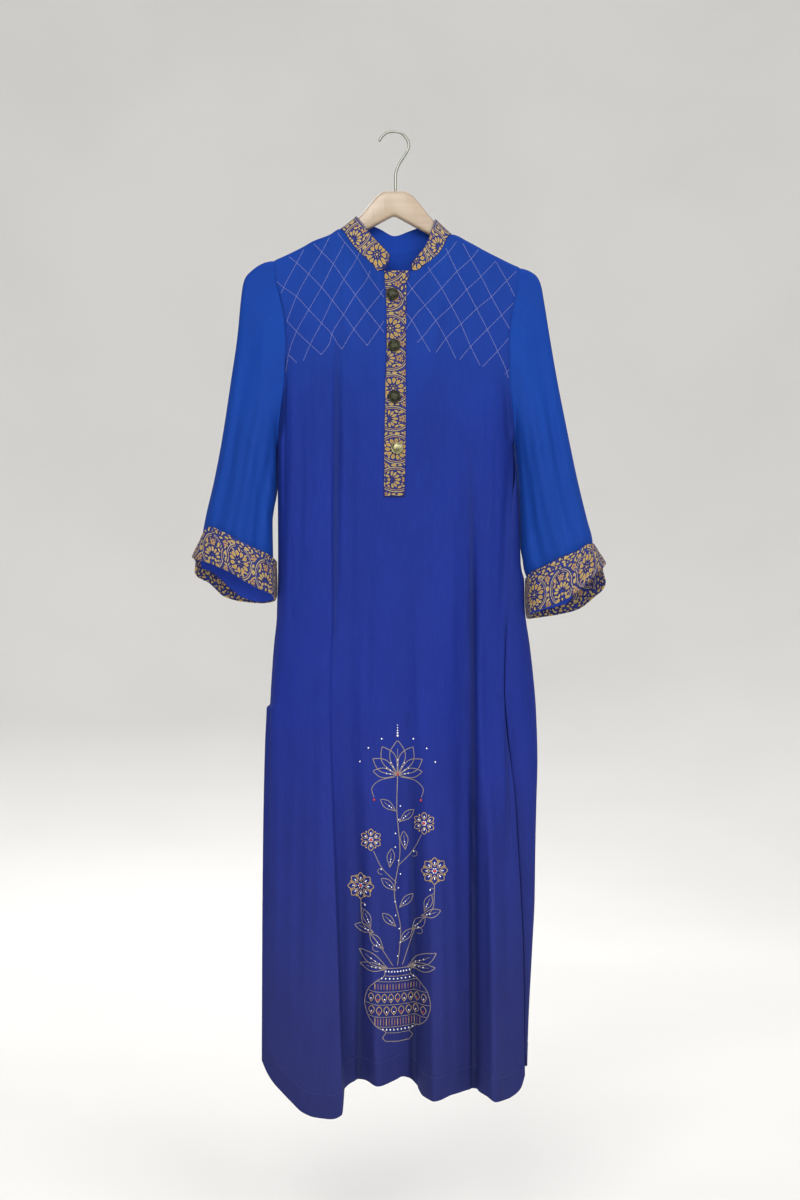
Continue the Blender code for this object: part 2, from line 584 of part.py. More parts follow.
def seam_frames(points, outwards, toward, loop=False):
    """Inward and across directions at each seam point, across pointing toward."""
    frames = []
    n = len(points)
    for k in range(n):
        if loop:
            tangent = points[(k + 1) % n] - points[k - 1]
        else:
            tangent = points[min(n - 1, k + 1)] - points[max(0, k - 1)]
        tangent.normalize()
        inward = -outwards[k]
        inward = (inward - tangent * inward.dot(tangent)).normalized()
        across = tangent.cross(inward).normalized()
        if across.dot(toward[k]) < 0.0:
            across = -across
        frames.append((inward, across))
    return frames


def sew_shoulders(front, back, front_keys, back_keys):
    """Shoulder seams: border points of both panels on each side of the neck."""
    last_f, last_b = len(front["grid"]) - 1, len(back["grid"]) - 1
    spans = (([(i, 0) for i in range(0, front_keys[0] + 1)],
              [(i, 0) for i in range(0, back_keys[0] + 1)]),
             ([(i, 0) for i in range(front_keys[1], last_f + 1)],
              [(i, 0) for i in range(back_keys[1], last_b + 1)]))
    for spots_f, spots_b in spans:
        points = [front["grid"][i][j] for i, j in spots_f]
        slope = points[-1] - points[0]
        up = Vector((-slope.z, 0.0, slope.x)).normalized()
        frames = seam_frames(points, [up] * len(points), [Vector((0, -1, 0))] * len(points))
        sew(front, spots_f, frames, 1.0)
        sew(back, spots_b, frames, -1.0)


def sew_sides(front, back):
    """Side seams from armpit to slit top."""
    for end in (0, -1):
        rows = range(ARM_ROWS - 1, SLIT_ROW + 1)
        fi = end % len(front["grid"])
        bi = end % len(back["grid"])
        near = 1 if end == 0 else -1
        points = [front["grid"][fi][j] for j in rows]
        outwards = [-(front["inward"][fi + near][j] + back["inward"][bi + near][j]) for j in rows]
        toward = [front["grid"][fi + near][j] - front["grid"][fi][j] for j in rows]
        frames = seam_frames(points, outwards, toward)
        sew(front, [(fi, j) for j in rows], frames, 1.0)
        sew(back, [(bi, j) for j in rows], frames, -1.0)


def armhole(front, back, side):
    """Ring of armhole points: shoulder, down the front, armpit, up the back."""
    fi = 0 if side == "left" else len(front["grid"]) - 1
    bi = 0 if side == "left" else len(back["grid"]) - 1
    down = [("front", fi, j) for j in range(ARM_ROWS)]
    up = [("back", bi, j) for j in range(ARM_ROWS - 2, 0, -1)]
    return down + up


def sleeve_piece(side, front, back):
    ring = armhole(front, back, side)
    panels = {"front": front, "back": back}
    start = [panels[w]["grid"][i][j].copy() for w, i, j in ring]
    outer_line = path(SLEEVE_OUTER[side])
    inner_line = path(SLEEVE_INNER[side])
    depth = {k: curve(v) for k, v in SLEEVE_DEPTH.items()}
    shares = list(ZONE_ARM) + list(ZONE_ARM)[-2:0:-1]
    first = ARM_ROWS - 1

    def formula(t, k):
        ox, oz = outer_line(t)
        ix, iz = inner_line(t)
        c = shares[k]
        face = "front" if k <= first else "back"
        round_out = math.sqrt(max(0.0, 1.0 - abs(2.0 * c - 1.0) ** 2.2))
        y = depth[face](t) * round_out
        for _, at_share, half, height, begin, end in SLEEVE_FOLDS:
            d = (c - at_share) / half
            if abs(d) < 1.0:
                y += (height * 0.5 * (1 + math.cos(math.pi * d))
                      * smoothstep(begin - 0.15, begin + 0.2, t) * smoothstep(1.05, 0.85, t))
        tilt = smoothstep(0.55, 1.0, t) * round_out
        z = lerp(oz, iz, c) + (7.0 if face == "front" else -11.0) * tilt
        return Vector((lerp(ox, ix, c), -y if face == "front" else y, z))

    grid = []
    for k in range(len(shares)):
        base = start[k] - formula(0.0, k)
        grid.append([formula(t, k) + base * (1.0 - t) ** 2.0 for t in SLEEVE_RINGS])
    part = piece(grid, (ARM_ROWS // 2, 8), (0, -1, 0), around=True)

    # armhole seam, shared by sleeve and panels
    centre = sum(start, Vector()) / len(start)
    outwards = []
    for k, p in enumerate(start):
        tangent = start[(k + 1) % len(start)] - start[k - 1]
        out = tangent.cross(Vector((1, 0, 0)))
        if out.dot(p - centre) < 0.0:
            out = -out
        outwards.append(out.normalized())
    body_way = Vector((1, 0, 0)) if side == "left" else Vector((-1, 0, 0))
    frames = seam_frames(start, outwards, [body_way] * len(start), loop=True)
    sew(part, [(k, 0) for k in range(len(start))], frames, -1.0)
    for (which, i, j), frame in zip(ring, frames):
        sew(panels[which], [(i, j)], [frame], 1.0)
        if j in (0, ARM_ROWS - 1):
            other = "back"
            oi = 0 if side == "left" else len(back["grid"]) - 1
            if which == "front":
                sew(panels[other], [(oi, j)], [frame], 1.0)
    return part, shares


def cuff_piece(side, sleeve, shares):
    """Centre surface of a band that turns round its lower edge and stands off the sleeve."""
    last = len(SLEEVE_RINGS) - 1
    top = path_by_share(CUFF_TOP[side])
    fold = {"front": path_by_share(CUFF_FOLD_FRONT[side]),
            "back": path_by_share(CUFF_FOLD_BACK[side])}
    first = ARM_ROWS - 1
    grid = []
    for k, c in enumerate(shares):
        face = "front" if k <= first else "back"
        sign = -1.0 if face == "front" else 1.0
        round_out = math.sqrt(max(0.0, 1.0 - abs(2.0 * c - 1.0) ** 2.3))
        seam = sleeve["grid"][k][last]
        inward = sleeve["inward"][k][last]
        fx, fz = fold[face](c)
        bottom = Vector((fx, sign * CUFF_DEPTH * round_out, fz))
        tx, tz = top(c)
        if face == "back":
            height = tz - fold["front"](c)[1]
            tx, tz = lerp(tx, fx, 0.25), fz + height * 0.96
        edge = Vector((tx, sign * (CUFF_DEPTH - 1.0) * round_out, tz))
        up = (edge - bottom).normalized()
        out = -inward
        out = (out - up * out.dot(up)).normalized()
        start = seam + inward * (WALL / 2)
        inner_foot = bottom - out * 2.9 + up * 2.6
        bend_in = bottom - out * 2.3 + up * 0.9
        bend = bottom - out * 1.3 + up * 0.35
        bend_out = bottom - out * 0.3 + up * 0.9
        outer_foot = bottom + up * 2.6
        grid.append([start, start.lerp(inner_foot, 0.5), inner_foot, bend_in, bend, bend_out,
                     outer_foot, outer_foot.lerp(edge, 0.36) + out * 0.6,
                     outer_foot.lerp(edge, 0.70) + out * 0.6, edge])
    return grid


def path_by_share(rows):
    xs = curve([(r[0], r[1]) for r in rows])
    zs = curve([(r[0], r[2]) for r in rows])
    return lambda c: (xs(c), zs(c))


def build_cuff(name, side, sleeve, shares, material):
    centre = cuff_piece(side, sleeve, shares)
    field = oriented(centre, (ARM_ROWS // 2, 8), (0, -1, 0), around=True)
    last = len(SLEEVE_RINGS) - 1
    outer, inner = [], []
    for k, column in enumerate(centre):
        seam = sleeve["outer"][k][last]
        inward = sleeve["inward"][k][last]
        along = (column[1] - column[0]).normalized() * SEAM_GAP
        outer.append([p + n * (WALL / 2) for p, n in zip(column, field[k])])
        inner.append([p - n * (WALL / 2) for p, n in zip(column, field[k])])
        # the inner leg carries on the sleeve's own wall
        inner[-1][0] = seam + along
        outer[-1][0] = seam + along + inward * WALL
    return wall_object(name, outer, inner, material, around=True)


def collar_piece(front, back, front_keys, back_keys):
    """Stand band: bottom on the neck edges of both panels, top edge from its own lines."""
    corners = front_keys[2], front_keys[3]
    spots = ([("front", i) for i in range(corners[0], front_keys[0], -1)]
             + [("back", i) for i in range(back_keys[0], back_keys[1] + 1)]
             + [("front", i) for i in range(front_keys[1] - 1, corners[1] - 1, -1)])
    panels = {"front": front, "back": back}
    bottom = [panels[w]["grid"][i][0].copy() for w, i in spots]
    n_left = corners[0] - front_keys[0]
    n_back = back_keys[1] - back_keys[0]
    tops = (path(COLLAR_TOP_FRONT_LEFT), path(COLLAR_TOP_BACK), path(COLLAR_TOP_FRONT_RIGHT))
    spans = ((0, n_left), (n_left, n_left + n_back), (n_left + n_back, len(spots) - 1))
    top = [None] * len(spots)
    for line, (a, b) in zip(tops, spans):
        lengths = [0.0]
        for k in range(a, b):
            lengths.append(lengths[-1] + (bottom[k + 1] - bottom[k]).length)
        for k in range(a, b + 1):
            top[k] = Vector(line(lengths[k - a] / lengths[-1]))
    grid = []
    steps = (0.0, 0.25, 0.5, 0.75, 1.0)
    for k, (low, high) in enumerate(zip(bottom, top)):
        column = [low.lerp(high, v) for v in steps]
        end = "left" if k == 0 else "right" if k == len(spots) - 1 else None
        if end:
            for m in range(1, len(steps)):
                x, z = COLLAR_END[end][m]
                column[m] = Vector((x, lerp(low.y, high.y, steps[m]), z))
        grid.append(column)
    part = piece(grid, (len(spots) // 2, 2), (0, 1, 0))

    outwards = []
    for p in bottom:
        lean = min(1.0, abs(p.y) / 11.5)
        side = Vector((math.copysign(0.5, p.x), 0.0, 0.86))
        face = Vector((0.0, math.copysign(1.0, p.y), 0.12))
        outwards.append(side.lerp(face, lean).normalized())
    frames = seam_frames(bottom, outwards, [Vector((0, 0, 1))] * len(bottom))
    sew(part, [(k, 0) for k in range(len(spots))], frames, 1.0)
    for k, ((which, i), frame) in enumerate(zip(spots, frames)):
        sew(panels[which], [(i, 0)], [frame], -1.0)
        if which == "back" and i in back_keys:
            sew(front, [(front_keys[back_keys.index(i)], 0)], [frame], -1.0)
    return part


def build_placket(front, first, last, material):
    """Band laid on the front panel: the panel's own points, moved out."""
    end_z = NECK_FRONT_LEFT[-1][1] - PLACKET_LENGTH
    outer, inner = [], []
    for i in range(first, last + 1):
        points, ways = [], []
        column = front["outer"][i]
        for j, p in enumerate(column):
            out = -front["inward"][i][j]
            if p.z < end_z:
                before = column[j - 1]
                t = (before.z - end_z) / (before.z - p.z)
                points.append(before.lerp(p, t))
                ways.append((-front["inward"][i][j - 1]).lerp(out, t).normalized())
                break
            if 0 < j < 4:
                continue
            points.append(p)
            ways.append(out)
        outer.append([p + w * (PLACKET_LIFT + PLACKET_WALL) for p, w in zip(points, ways)])
        inner.append([p + w * PLACKET_LIFT for p, w in zip(points, ways)])
    wall_object("placket", outer, inner, material)
    return outer


def surface_at(grid, x, z):
    """Point and normal of a grid surface seen from the front at x, z."""
    for i in range(len(grid) - 1):
        for j in range(len(grid[0]) - 1):
            a, b = grid[i][j], grid[i + 1][j]
            c, d = grid[i + 1][j + 1], grid[i][j + 1]
            if not (min(a.x, d.x) - 1 <= x <= max(b.x, c.x) + 1 and d.z <= z <= a.z):
                continue
            t = (a.z - z) / (a.z - d.z)
            left, right = a.lerp(d, t), b.lerp(c, t)
            s = (x - left.x) / (right.x - left.x)
            if -0.01 <= s <= 1.01:
                normal = (b - a).cross(d - a).normalized()
                if normal.y > 0.0:
                    normal = -normal
                return left.lerp(right, s), normal
    raise ValueError("no surface at %.1f, %.1f" % (x, z))


BUTTON_PROFILE = [(7.3, 0.0), (8.0, 0.8), (8.0, 1.7), (7.2, 2.6), (4.6, 3.2)]
BUTTON_CROWN = 3.5


def build_button(name, placket, x, z, material):
    base, normal = surface_at(placket, x, z)
    base = base + normal * (BUTTON_LIFT + 0.12)
    side = Vector((0, 0, 1)).cross(normal).normalized()
    up = normal.cross(side)
    sides = 16
    scale = BUTTON_DIA / 16.0
    verts = [base]
    for radius, height in BUTTON_PROFILE:
        for k in range(sides):
            a = math.tau * k / sides
            verts.append(base + (side * math.cos(a) + up * math.sin(a)) * radius * scale
                         + normal * height)
    verts.append(base + normal * BUTTON_CROWN)
    rings = len(BUTTON_PROFILE)
    faces = []
    for k in range(sides):
        n = (k + 1) % sides
        faces.append((0, 1 + n, 1 + k))
        for r in range(rings - 1):
            a, b = 1 + r * sides, 1 + (r + 1) * sides
            faces.append((a + k, a + n, b + n, b + k))
        faces.append((1 + (rings - 1) * sides + k, 1 + (rings - 1) * sides + n, len(verts) - 1))
    if signed_volume([v - base for v in verts], faces) < 0.0:
        faces = [tuple(reversed(f)) for f in faces]
    return new_object(name, verts, faces, material)


def build_hanger(material):
    top = curve(HANGER_TOP)

    def under(x):
        for (xa, za), (xb, zb) in zip(HANGER_UNDER, HANGER_UNDER[1:]):
            if x <= xb:
                return lerp(za, zb, (x - xa) / (xb - xa))
        return HANGER_UNDER[-1][1]

    stations = [p[0] for p in HANGER_TOP]
    stations += [-150.0, -120.0, -34.5, -0.7, 46.5, 84.0, 136.0]
    stations = sorted(set(stations))
    sections = []
    for x in stations:
        tip = min(x - stations[0], stations[-1] - x)
        half = HANGER_THICK / 2 * (0.72 + 0.28 * min(1.0, tip / 14.0))
        high, low = top(x), under(x)
        r = 4.0
        ring = []
        for cy, cz, a0 in ((half - r, high - r, 0), (-half + r, high - r, 90),
                           (-half + r, low + r, 180), (half - r, low + r, 270)):
            for step in (0, 45, 90):
                a = math.radians(a0 + step)
                ring.append(Vector((x, cy + r * math.cos(a), cz + r * math.sin(a))))
        sections.append(ring)
    n = len(sections[0])
    verts = [p for ring in sections for p in ring]
    faces = []
    for s in range(len(sections) - 1):
        for k in range(n):
            a, b = s * n + k, s * n + (k + 1) % n
            faces.append((a, b, b + n, a + n))
    faces.append(tuple(range(n - 1, -1, -1)))
    faces.append(tuple(range((len(sections) - 1) * n, len(sections) * n)))
    if signed_volume(verts, faces) < 0.0:
        faces = [tuple(reversed(f)) for f in faces]
    return new_object("hanger_body", verts, faces, material)


def build_hook(material):
    line = path(HOOK_LINE)
    count, sides, radius = 26, 8, HOOK_WIRE_DIA / 2
    centre = [Vector((line(k / count)[0], 0.0, line(k / count)[1])) for k in range(count + 1)]
    verts, faces = [], []
    for k, p in enumerate(centre):
        tangent = (centre[min(count, k + 1)] - centre[max(0, k - 1)]).normalized()
        side = tangent.cross(Vector((0, 1, 0))).normalized()
        for m in range(sides):
            a = math.tau * m / sides
            verts.append(p + (side * math.cos(a) + Vector((0, 1, 0)) * math.sin(a)) * radius)
    for k in range(count):
        for m in range(sides):
            a, b = k * sides + m, k * sides + (m + 1) % sides
            faces.append((a, b, b + sides, a + sides))
    faces.append(tuple(range(sides - 1, -1, -1)))
    faces.append(tuple(range(count * sides, (count + 1) * sides)))
    if signed_volume(verts, faces) < 0.0:
        faces = [tuple(reversed(f)) for f in faces]
    return new_object("hanger_hook", verts, faces, material)


def main():
    for obj in list(bpy.data.objects):
        bpy.data.objects.remove(obj)
    cloth = material("kurti_cloth", (0.022, 0.05, 0.30), 0.72)
    print_cloth = material("floral_print", (0.42, 0.24, 0.07), 0.7)
    bronze = material("button_bronze", (0.16, 0.12, 0.05), 0.28, 1.0)
    golden = material("button_gold", (0.55, 0.42, 0.14), 0.25, 1.0)
    wood = material("hanger_wood", (0.62, 0.45, 0.28), 0.45)
    steel = material("hook_steel", (0.55, 0.55, 0.52), 0.25, 1.0)

    front = piece(front_grid(FRONT_COLUMNS), (12, 12), (0, -1, 0))
    back = piece(back_grid(back_columns()), (12, 12), (0, 1, 0))

    def nearest(part, x):
        top_row = [abs(column[0].x - x) for column in part["grid"]]
        return top_row.index(min(top_row))

    front_keys = (nearest(front, NECK_X[0]), nearest(front, NECK_X[1]),
                  nearest(front, NECK_FRONT_LEFT[-1][0]), nearest(front, NECK_FRONT_RIGHT[0][0]))
    back_keys = (nearest(back, NECK_X[0]), nearest(back, NECK_X[1]))
    sew_shoulders(front, back, front_keys, back_keys)
    sew_sides(front, back)
    sleeves = {side: sleeve_piece(side, front, back) for side in ("left", "right")}
    collar = collar_piece(front, back, front_keys, back_keys)

    build_piece("front_panel", front, WALL, cloth)
    build_piece("back_panel", back, WALL, cloth)
    build_piece("collar_band", collar, BAND_WALL, print_cloth)
    for side, (sleeve, shares) in sleeves.items():
        build_piece("sleeve_" + side, sleeve, WALL, cloth)
        build_cuff("cuff_" + side, side, sleeve, shares, print_cloth)
    placket = build_placket(front, nearest(front, PLACKET_X[0]), nearest(front, PLACKET_X[1]),
                            print_cloth)
    for number, (name, x, z) in enumerate(BUTTON_ROWS):
        build_button(name, placket, x, z, golden if number == 3 else bronze)
    build_hanger(wood)
    build_hook(steel)


main()
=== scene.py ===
"""Looks of the long blue kurti on its wooden hanger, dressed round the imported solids.

Tables are in millimetres and meshes in metres. The origin is the inside top of the
hanger hook, the front faces -Y and +Z is up. Left and right are as seen from the front.
"""
import math

import bpy
import numpy as np
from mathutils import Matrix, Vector
from mathutils.bvhtree import BVHTree


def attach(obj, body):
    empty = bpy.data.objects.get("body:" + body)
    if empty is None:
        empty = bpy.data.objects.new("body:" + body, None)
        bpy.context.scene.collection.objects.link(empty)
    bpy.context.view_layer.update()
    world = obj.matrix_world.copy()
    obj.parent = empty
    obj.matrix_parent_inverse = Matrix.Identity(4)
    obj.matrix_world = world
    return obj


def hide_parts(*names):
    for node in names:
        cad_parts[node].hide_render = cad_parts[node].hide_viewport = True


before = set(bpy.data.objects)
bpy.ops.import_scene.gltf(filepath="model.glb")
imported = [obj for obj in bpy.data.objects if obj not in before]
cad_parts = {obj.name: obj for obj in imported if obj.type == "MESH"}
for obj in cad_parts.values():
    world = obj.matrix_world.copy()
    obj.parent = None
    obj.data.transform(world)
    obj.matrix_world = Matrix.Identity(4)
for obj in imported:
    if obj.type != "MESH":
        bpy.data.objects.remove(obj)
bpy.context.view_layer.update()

SIDES = ("left", "right")
CLOTH = 0.9             # shell thickness
BAND = 1.5              # doubled band cloth
CUFF_WALL = 1.1
PLACKET_WALL = 1.3
SHOULDER_ROUND = 9.0    # cloth radius over the hanger arm
SHOULDER_BLEND = 150.0  # drop in which the cloth goes over to the body's depth
ARMPIT_DROP = -405.6
SLIT_TOP = {"left": -741.0, "right": -724.0}
SLIT_TURN, HEM_TURN = 10.5, 30.0
PLACKET_LENGTH = 291.0
PLACKET_LIFT = 0.35
PLACKET_X = (-13.0, 15.9)
HOOK_WIRE_DIA = 3.6
HANGER_THICK = 12.0
HANGER_ROUND = 4.6

# Shoulder line and outer sleeve line: (x, z) from the neck point outwards
SHOULDER_LEFT = [(-70.8, -124.8), (-84.6, -132.3), (-105.2, -140.3), (-119.3, -148.2),
                 (-138.2, -157.6), (-157.0, -166.3)]
SHOULDER_RIGHT = [(74.5, -131.9), (96.6, -141.7), (120.1, -154.4), (135.9, -162.4),
                  (151.7, -170.2), (164.0, -175.8)]
NECK_FRONT_LEFT = [(-70.8, -124.8), (-68.4, -126.6), (-64.3, -132.6), (-54.1, -148.0),
                   (-46.1, -158.2), (-37.0, -166.8), (-28.9, -174.5), (-21.2, -183.8)]
NECK_FRONT_RIGHT = [(25.2, -183.8), (41.2, -173.3), (56.9, -159.5), (63.0, -150.5),
                    (68.0, -139.5), (72.1, -133.8), (74.5, -131.9)]
NECK_BACK = [(-70.8, -124.8), (-68.4, -126.4), (-64.3, -131.0), (-56.0, -137.0),
             (-45.0, -141.5), (-20.0, -151.5), (0.5, -156.0), (22.0, -152.5), (46.0, -145.5),
             (60.0, -141.0), (68.0, -136.5), (72.1, -133.4), (74.5, -131.9)]

# Depth of the neck edges: (x, y)
NECK_FRONT_DEPTH = [(-70.8, 0.0), (-68.4, -7.6), (-64.3, -10.4), (-58.0, -12.8),
                    (-46.0, -16.5), (-21.2, -25.0), (2.0, -27.5), (25.2, -25.0), (48.0, -17.0),
                    (61.0, -12.8), (68.0, -10.4), (72.1, -7.6), (74.5, 0.0)]
NECK_BACK_DEPTH = [(-70.8, 0.0), (-68.4, 7.6), (-64.3, 10.4), (-56.0, 12.4), (-30.0, 15.5),
                   (0.0, 17.0), (30.0, 15.5), (60.0, 12.4), (68.0, 10.4), (72.1, 7.6),
                   (74.5, 0.0)]

# Edges of the body from the front: (z, x)
EDGE_LEFT = [(-166.3, -157.0), (-193.7, -154.3), (-207.2, -150.5), (-246.7, -142.6),
             (-285.5, -140.8), (-313.7, -141.5), (-349.3, -145.0), (-387.0, -150.5),
             (-405.6, -152.8), (-451.1, -152.4), (-555.1, -151.6), (-628.7, -153.5),
             (-665.3, -157.2), (-710.6, -160.8), (-766.4, -163.6), (-794.4, -164.7),
             (-929.7, -167.1), (-1060.5, -168.0), (-1196.9, -168.3)]
SLIT_STEP = 3.6         # the left slit edge stands out this far below the slit top
SEAM_RIGHT = [(-175.8, 164.0), (-206.9, 158.2), (-246.7, 151.3), (-285.5, 148.7),
              (-324.0, 148.7), (-349.3, 151.0), (-387.0, 154.8), (-405.6, 156.0),
              (-451.7, 154.0), (-503.8, 150.5), (-607.1, 146.1), (-722.6, 141.9),
              (-752.1, 143.5), (-885.9, 156.2), (-1014.9, 164.1), (-1061.6, 166.0),
              (-1150.0, 167.5), (-1222.0, 168.6)]
OUTLINE_RIGHT = [(-405.6, 156.0), (-477.1, 161.3), (-556.0, 164.0), (-566.0, 164.6),
                 (-574.0, 167.0), (-582.0, 168.8), (-600.0, 169.0), (-618.0, 169.4),
                 (-634.0, 171.0), (-660.0, 175.0), (-703.3, 180.1), (-750.1, 184.0),
                 (-815.1, 185.9), (-870.9, 184.5), (-926.5, 183.2), (-995.8, 182.2),
                 (-1056.5, 179.2), (-1149.2, 174.4), (-1205.1, 172.4)]

# Depth of the body edges: (z, y of the front layer)
DEPTH_LEFT = [(-166.3, 0.0), (-176.0, -8.0), (-200.0, -16.0), (-246.0, -23.0), (-285.0, -25.0),
              (-330.0, -23.0), (-370.0, -17.0), (-392.0, -10.0), (-402.0, -4.5), (-405.6, 0.0),
              (-741.0, 0.0), (-800.0, -4.0), (-950.0, -8.0), (-1196.9, -12.0)]
DEPTH_RIGHT = [(-175.8, 0.0), (-186.0, -8.0), (-210.0, -16.0), (-250.0, -23.0), (-290.0, -25.0),
               (-335.0, -23.0), (-372.0, -17.0), (-393.0, -10.0), (-402.0, -4.5), (-405.6, 0.0),
               (-450.0, -8.0), (-520.0, -19.0), (-607.1, -27.0), (-722.6, -34.0),
               (-885.9, -30.0), (-1014.9, -26.0), (-1200.5, -20.0)]

# Front fold lines, left to right: shares of the width at top and hem, then the depth y
# of the line at each station height (chest, armpit, waist, hip, knee, hem)
FRONT_STATIONS = (-300.0, -406.0, -560.0, -741.0, -980.0, -1235.0)
FRONT_FOLDS = {
    "side_roll_a": (0.006, 0.008, -25.6, -5.5, -7.0, -8.0, -11.0, -15.0),
    "side_roll_b": (0.020, 0.035, -27.0, -17.0, -18.0, -20.0, -22.0, -25.0),
    "side_roll_c": (0.055, 0.090, -29.5, -25.0, -28.0, -30.0, -36.0, -44.0),
    "broad_rise": (0.100, 0.147, -31.5, -31.0, -35.0, -38.0, -48.0, -60.0),
    "broad_crest": (0.160, 0.224, -32.5, -34.0, -40.0, -44.0, -58.0, -72.0),
    "fold_edge": (0.215, 0.305, -33.0, -35.0, -41.0, -47.0, -64.0, -80.0),
    "fold_foot": (0.233, 0.3125, -32.0, -33.5, -38.0, -43.5, -52.0, -54.0),
    "valley_left": (0.300, 0.382, -34.0, -36.0, -38.0, -39.0, -36.0, -30.0),
    "small_ridge": (0.380, 0.436, -36.0, -40.0, -43.0, -46.0, -49.0, -50.0),
    "hollow_mid": (0.470, 0.502, -37.0, -42.0, -45.0, -48.0, -44.0, -37.0),
    "valley_mid": (0.560, 0.575, -37.0, -42.0, -45.0, -46.0, -36.0, -26.0),
    "ridge_right": (0.650, 0.649, -36.0, -41.0, -46.0, -53.0, -64.0, -75.0),
    "slope_right": (0.740, 0.726, -35.0, -38.0, -43.0, -46.0, -52.0, -55.0),
    "valley_right": (0.855, 0.807, -33.0, -33.0, -32.0, -29.0, -28.0, -27.0),
    "ridge_side": (0.910, 0.873, -31.0, -29.0, -38.0, -44.0, -53.0, -60.0),
    "hollow_side": (0.955, 0.930, -28.5, -21.0, -33.0, -39.0, -39.0, -38.0),
    "side_roll_d": (0.983, 0.973, -26.5, -10.0, -25.0, -36.0, -31.0, -27.0),
}
# Front hem: (share of width at the hem, z)
FRONT_HEM = [(0.0, -1203.0), (0.020, -1216.5), (0.042, -1227.0), (0.075, -1237.5),
             (0.110, -1247.5), (0.155, -1258.0), (0.200, -1262.0), (0.250, -1262.5),
             (0.305, -1255.5), (0.3125, -1229.0), (0.382, -1223.5), (0.436, -1227.6),
             (0.502, -1222.5), (0.530, -1219.0), (0.562, -1223.0), (0.582, -1232.0),
             (0.612, -1239.0), (0.649, -1240.5), (0.726, -1236.0), (0.790, -1236.0),
             (0.840, -1238.5), (0.885, -1245.5), (0.925, -1246.5), (0.960, -1242.5),
             (0.985, -1235.0), (1.0, -1220.0)]
# Back folds: share of width at top and hem, half width, height at hip and hem (+ is out)
BACK_FOLDS = [
    (0.16, 0.15, 0.085, 5.0, 16.0),
    (0.30, 0.33, 0.080, -3.0, -10.0),
    (0.44, 0.47, 0.090, 4.0, 14.0),
    (0.58, 0.61, 0.075, -3.0, -11.0),
    (0.72, 0.76, 0.085, 5.0, 15.0),
]
BACK_DEPTH = [(-160.0, 12.0), (-300.0, 20.0), (-406.0, 23.0), (-560.0, 25.0), (-741.0, 27.0),
              (-980.0, 29.0), (-1235.0, 31.0)]
BACK_HEM = [(0.0, -1188.0), (0.02, -1199.0), (0.05, -1209.0), (0.12, -1219.0), (0.25, -1222.0),
            (0.50, -1220.0), (0.75, -1221.0), (0.88, -1218.0), (0.96, -1209.0), (1.0, -1192.0)]

# Outer and inner lines of each sleeve: (x, z), shoulder or armpit first, cuff seam last
SLEEVE_OUTER = {
    "left": [(-157.0, -166.3), (-168.2, -168.6), (-177.2, -172.8), (-187.0, -180.2),
             (-193.6, -187.8), (-196.8, -196.8), (-198.6, -208.0), (-204.4, -266.0),
             (-212.4, -321.0), (-224.3, -399.1), (-234.2, -451.1), (-246.0, -503.0),
             (-252.5, -540.0)],
    "right": [(164.0, -175.8), (175.2, -179.7), (183.7, -185.2), (188.8, -193.2),
              (191.6, -203.0), (194.0, -217.0), (202.4, -269.0), (211.4, -321.0),
              (226.9, -399.1), (237.8, -451.1), (250.3, -503.0), (257.2, -530.0),
              (258.5, -550.0)],
}
SLEEVE_INNER = {
    "left": [(-152.8, -405.6), (-152.3, -415.0), (-151.95, -430.0), (-151.8, -452.0),
             (-152.4, -464.0), (-154.2, -477.0), (-156.6, -490.0), (-158.3, -505.0),
             (-157.8, -545.0), (-156.0, -583.0)],
    "right": [(156.0, -405.6), (156.35, -415.0), (157.05, -425.0), (158.4, -438.0),
              (159.7, -452.0), (161.2, -480.0), (162.1, -504.0), (162.8, -528.0),
              (163.7, -540.0), (166.4, -556.0), (168.0, -567.0), (171.6, -578.0),
              (176.2, -603.0)],
}
# The inner edge lies behind the body edge down to this share of its length
SLEEVE_BEHIND = {"left": 0.38, "right": 0.67}
SLEEVE_DEPTH = {"front": [(0.0, 25.0), (0.3, 27.0), (0.6, 30.0), (1.0, 35.0)],
                "back": [(0.0, 20.0), (0.3, 24.0), (0.6, 29.0), (1.0, 36.0)]}
# Soft sleeve folds: share across from the outer line, half width, height, start share
SLEEVE_FOLDS = [
    (0.22, 0.13, -4.0, 0.25),
    (0.50, 0.14, 4.5, 0.30),
    (0.78, 0.12, -4.0, 0.20),
]

# Cuff edges from the front: share across from the outer side, x, z
CUFF_TOP = {
    "left": [(0.0, -249.8, -527.6), (0.08, -246.0, -520.5), (0.19, -236.0, -512.5),
             (0.31, -222.0, -518.0), (0.50, -199.0, -530.5), (0.70, -178.0, -541.0),
             (0.90, -161.5, -548.5), (1.0, -154.6, -556.0)],
    "right": [(0.0, 261.4, -541.5), (0.08, 256.0, -534.5), (0.19, 248.0, -535.0),
              (0.35, 233.6, -543.8), (0.55, 212.0, -552.5), (0.75, 193.8, -562.5),
              (0.92, 177.6, -570.1), (1.0, 171.8, -579.0)],
}
CUFF_FOLD_FRONT = {
    "left": [(0.0, -263.4, -551.4), (0.06, -257.2, -553.2), (0.19, -236.6, -560.0),
             (0.40, -211.0, -571.0), (0.60, -190.0, -583.0), (0.80, -170.6, -593.3),
             (0.94, -156.5, -600.0), (1.0, -154.2, -604.5)],
    "right": [(0.0, 275.2, -559.6), (0.06, 269.5, -564.0), (0.19, 256.0, -576.5),
              (0.40, 232.0, -598.0), (0.60, 211.0, -609.5), (0.80, 190.0, -617.5),
              (0.94, 175.2, -622.0), (1.0, 172.4, -625.5)],
}
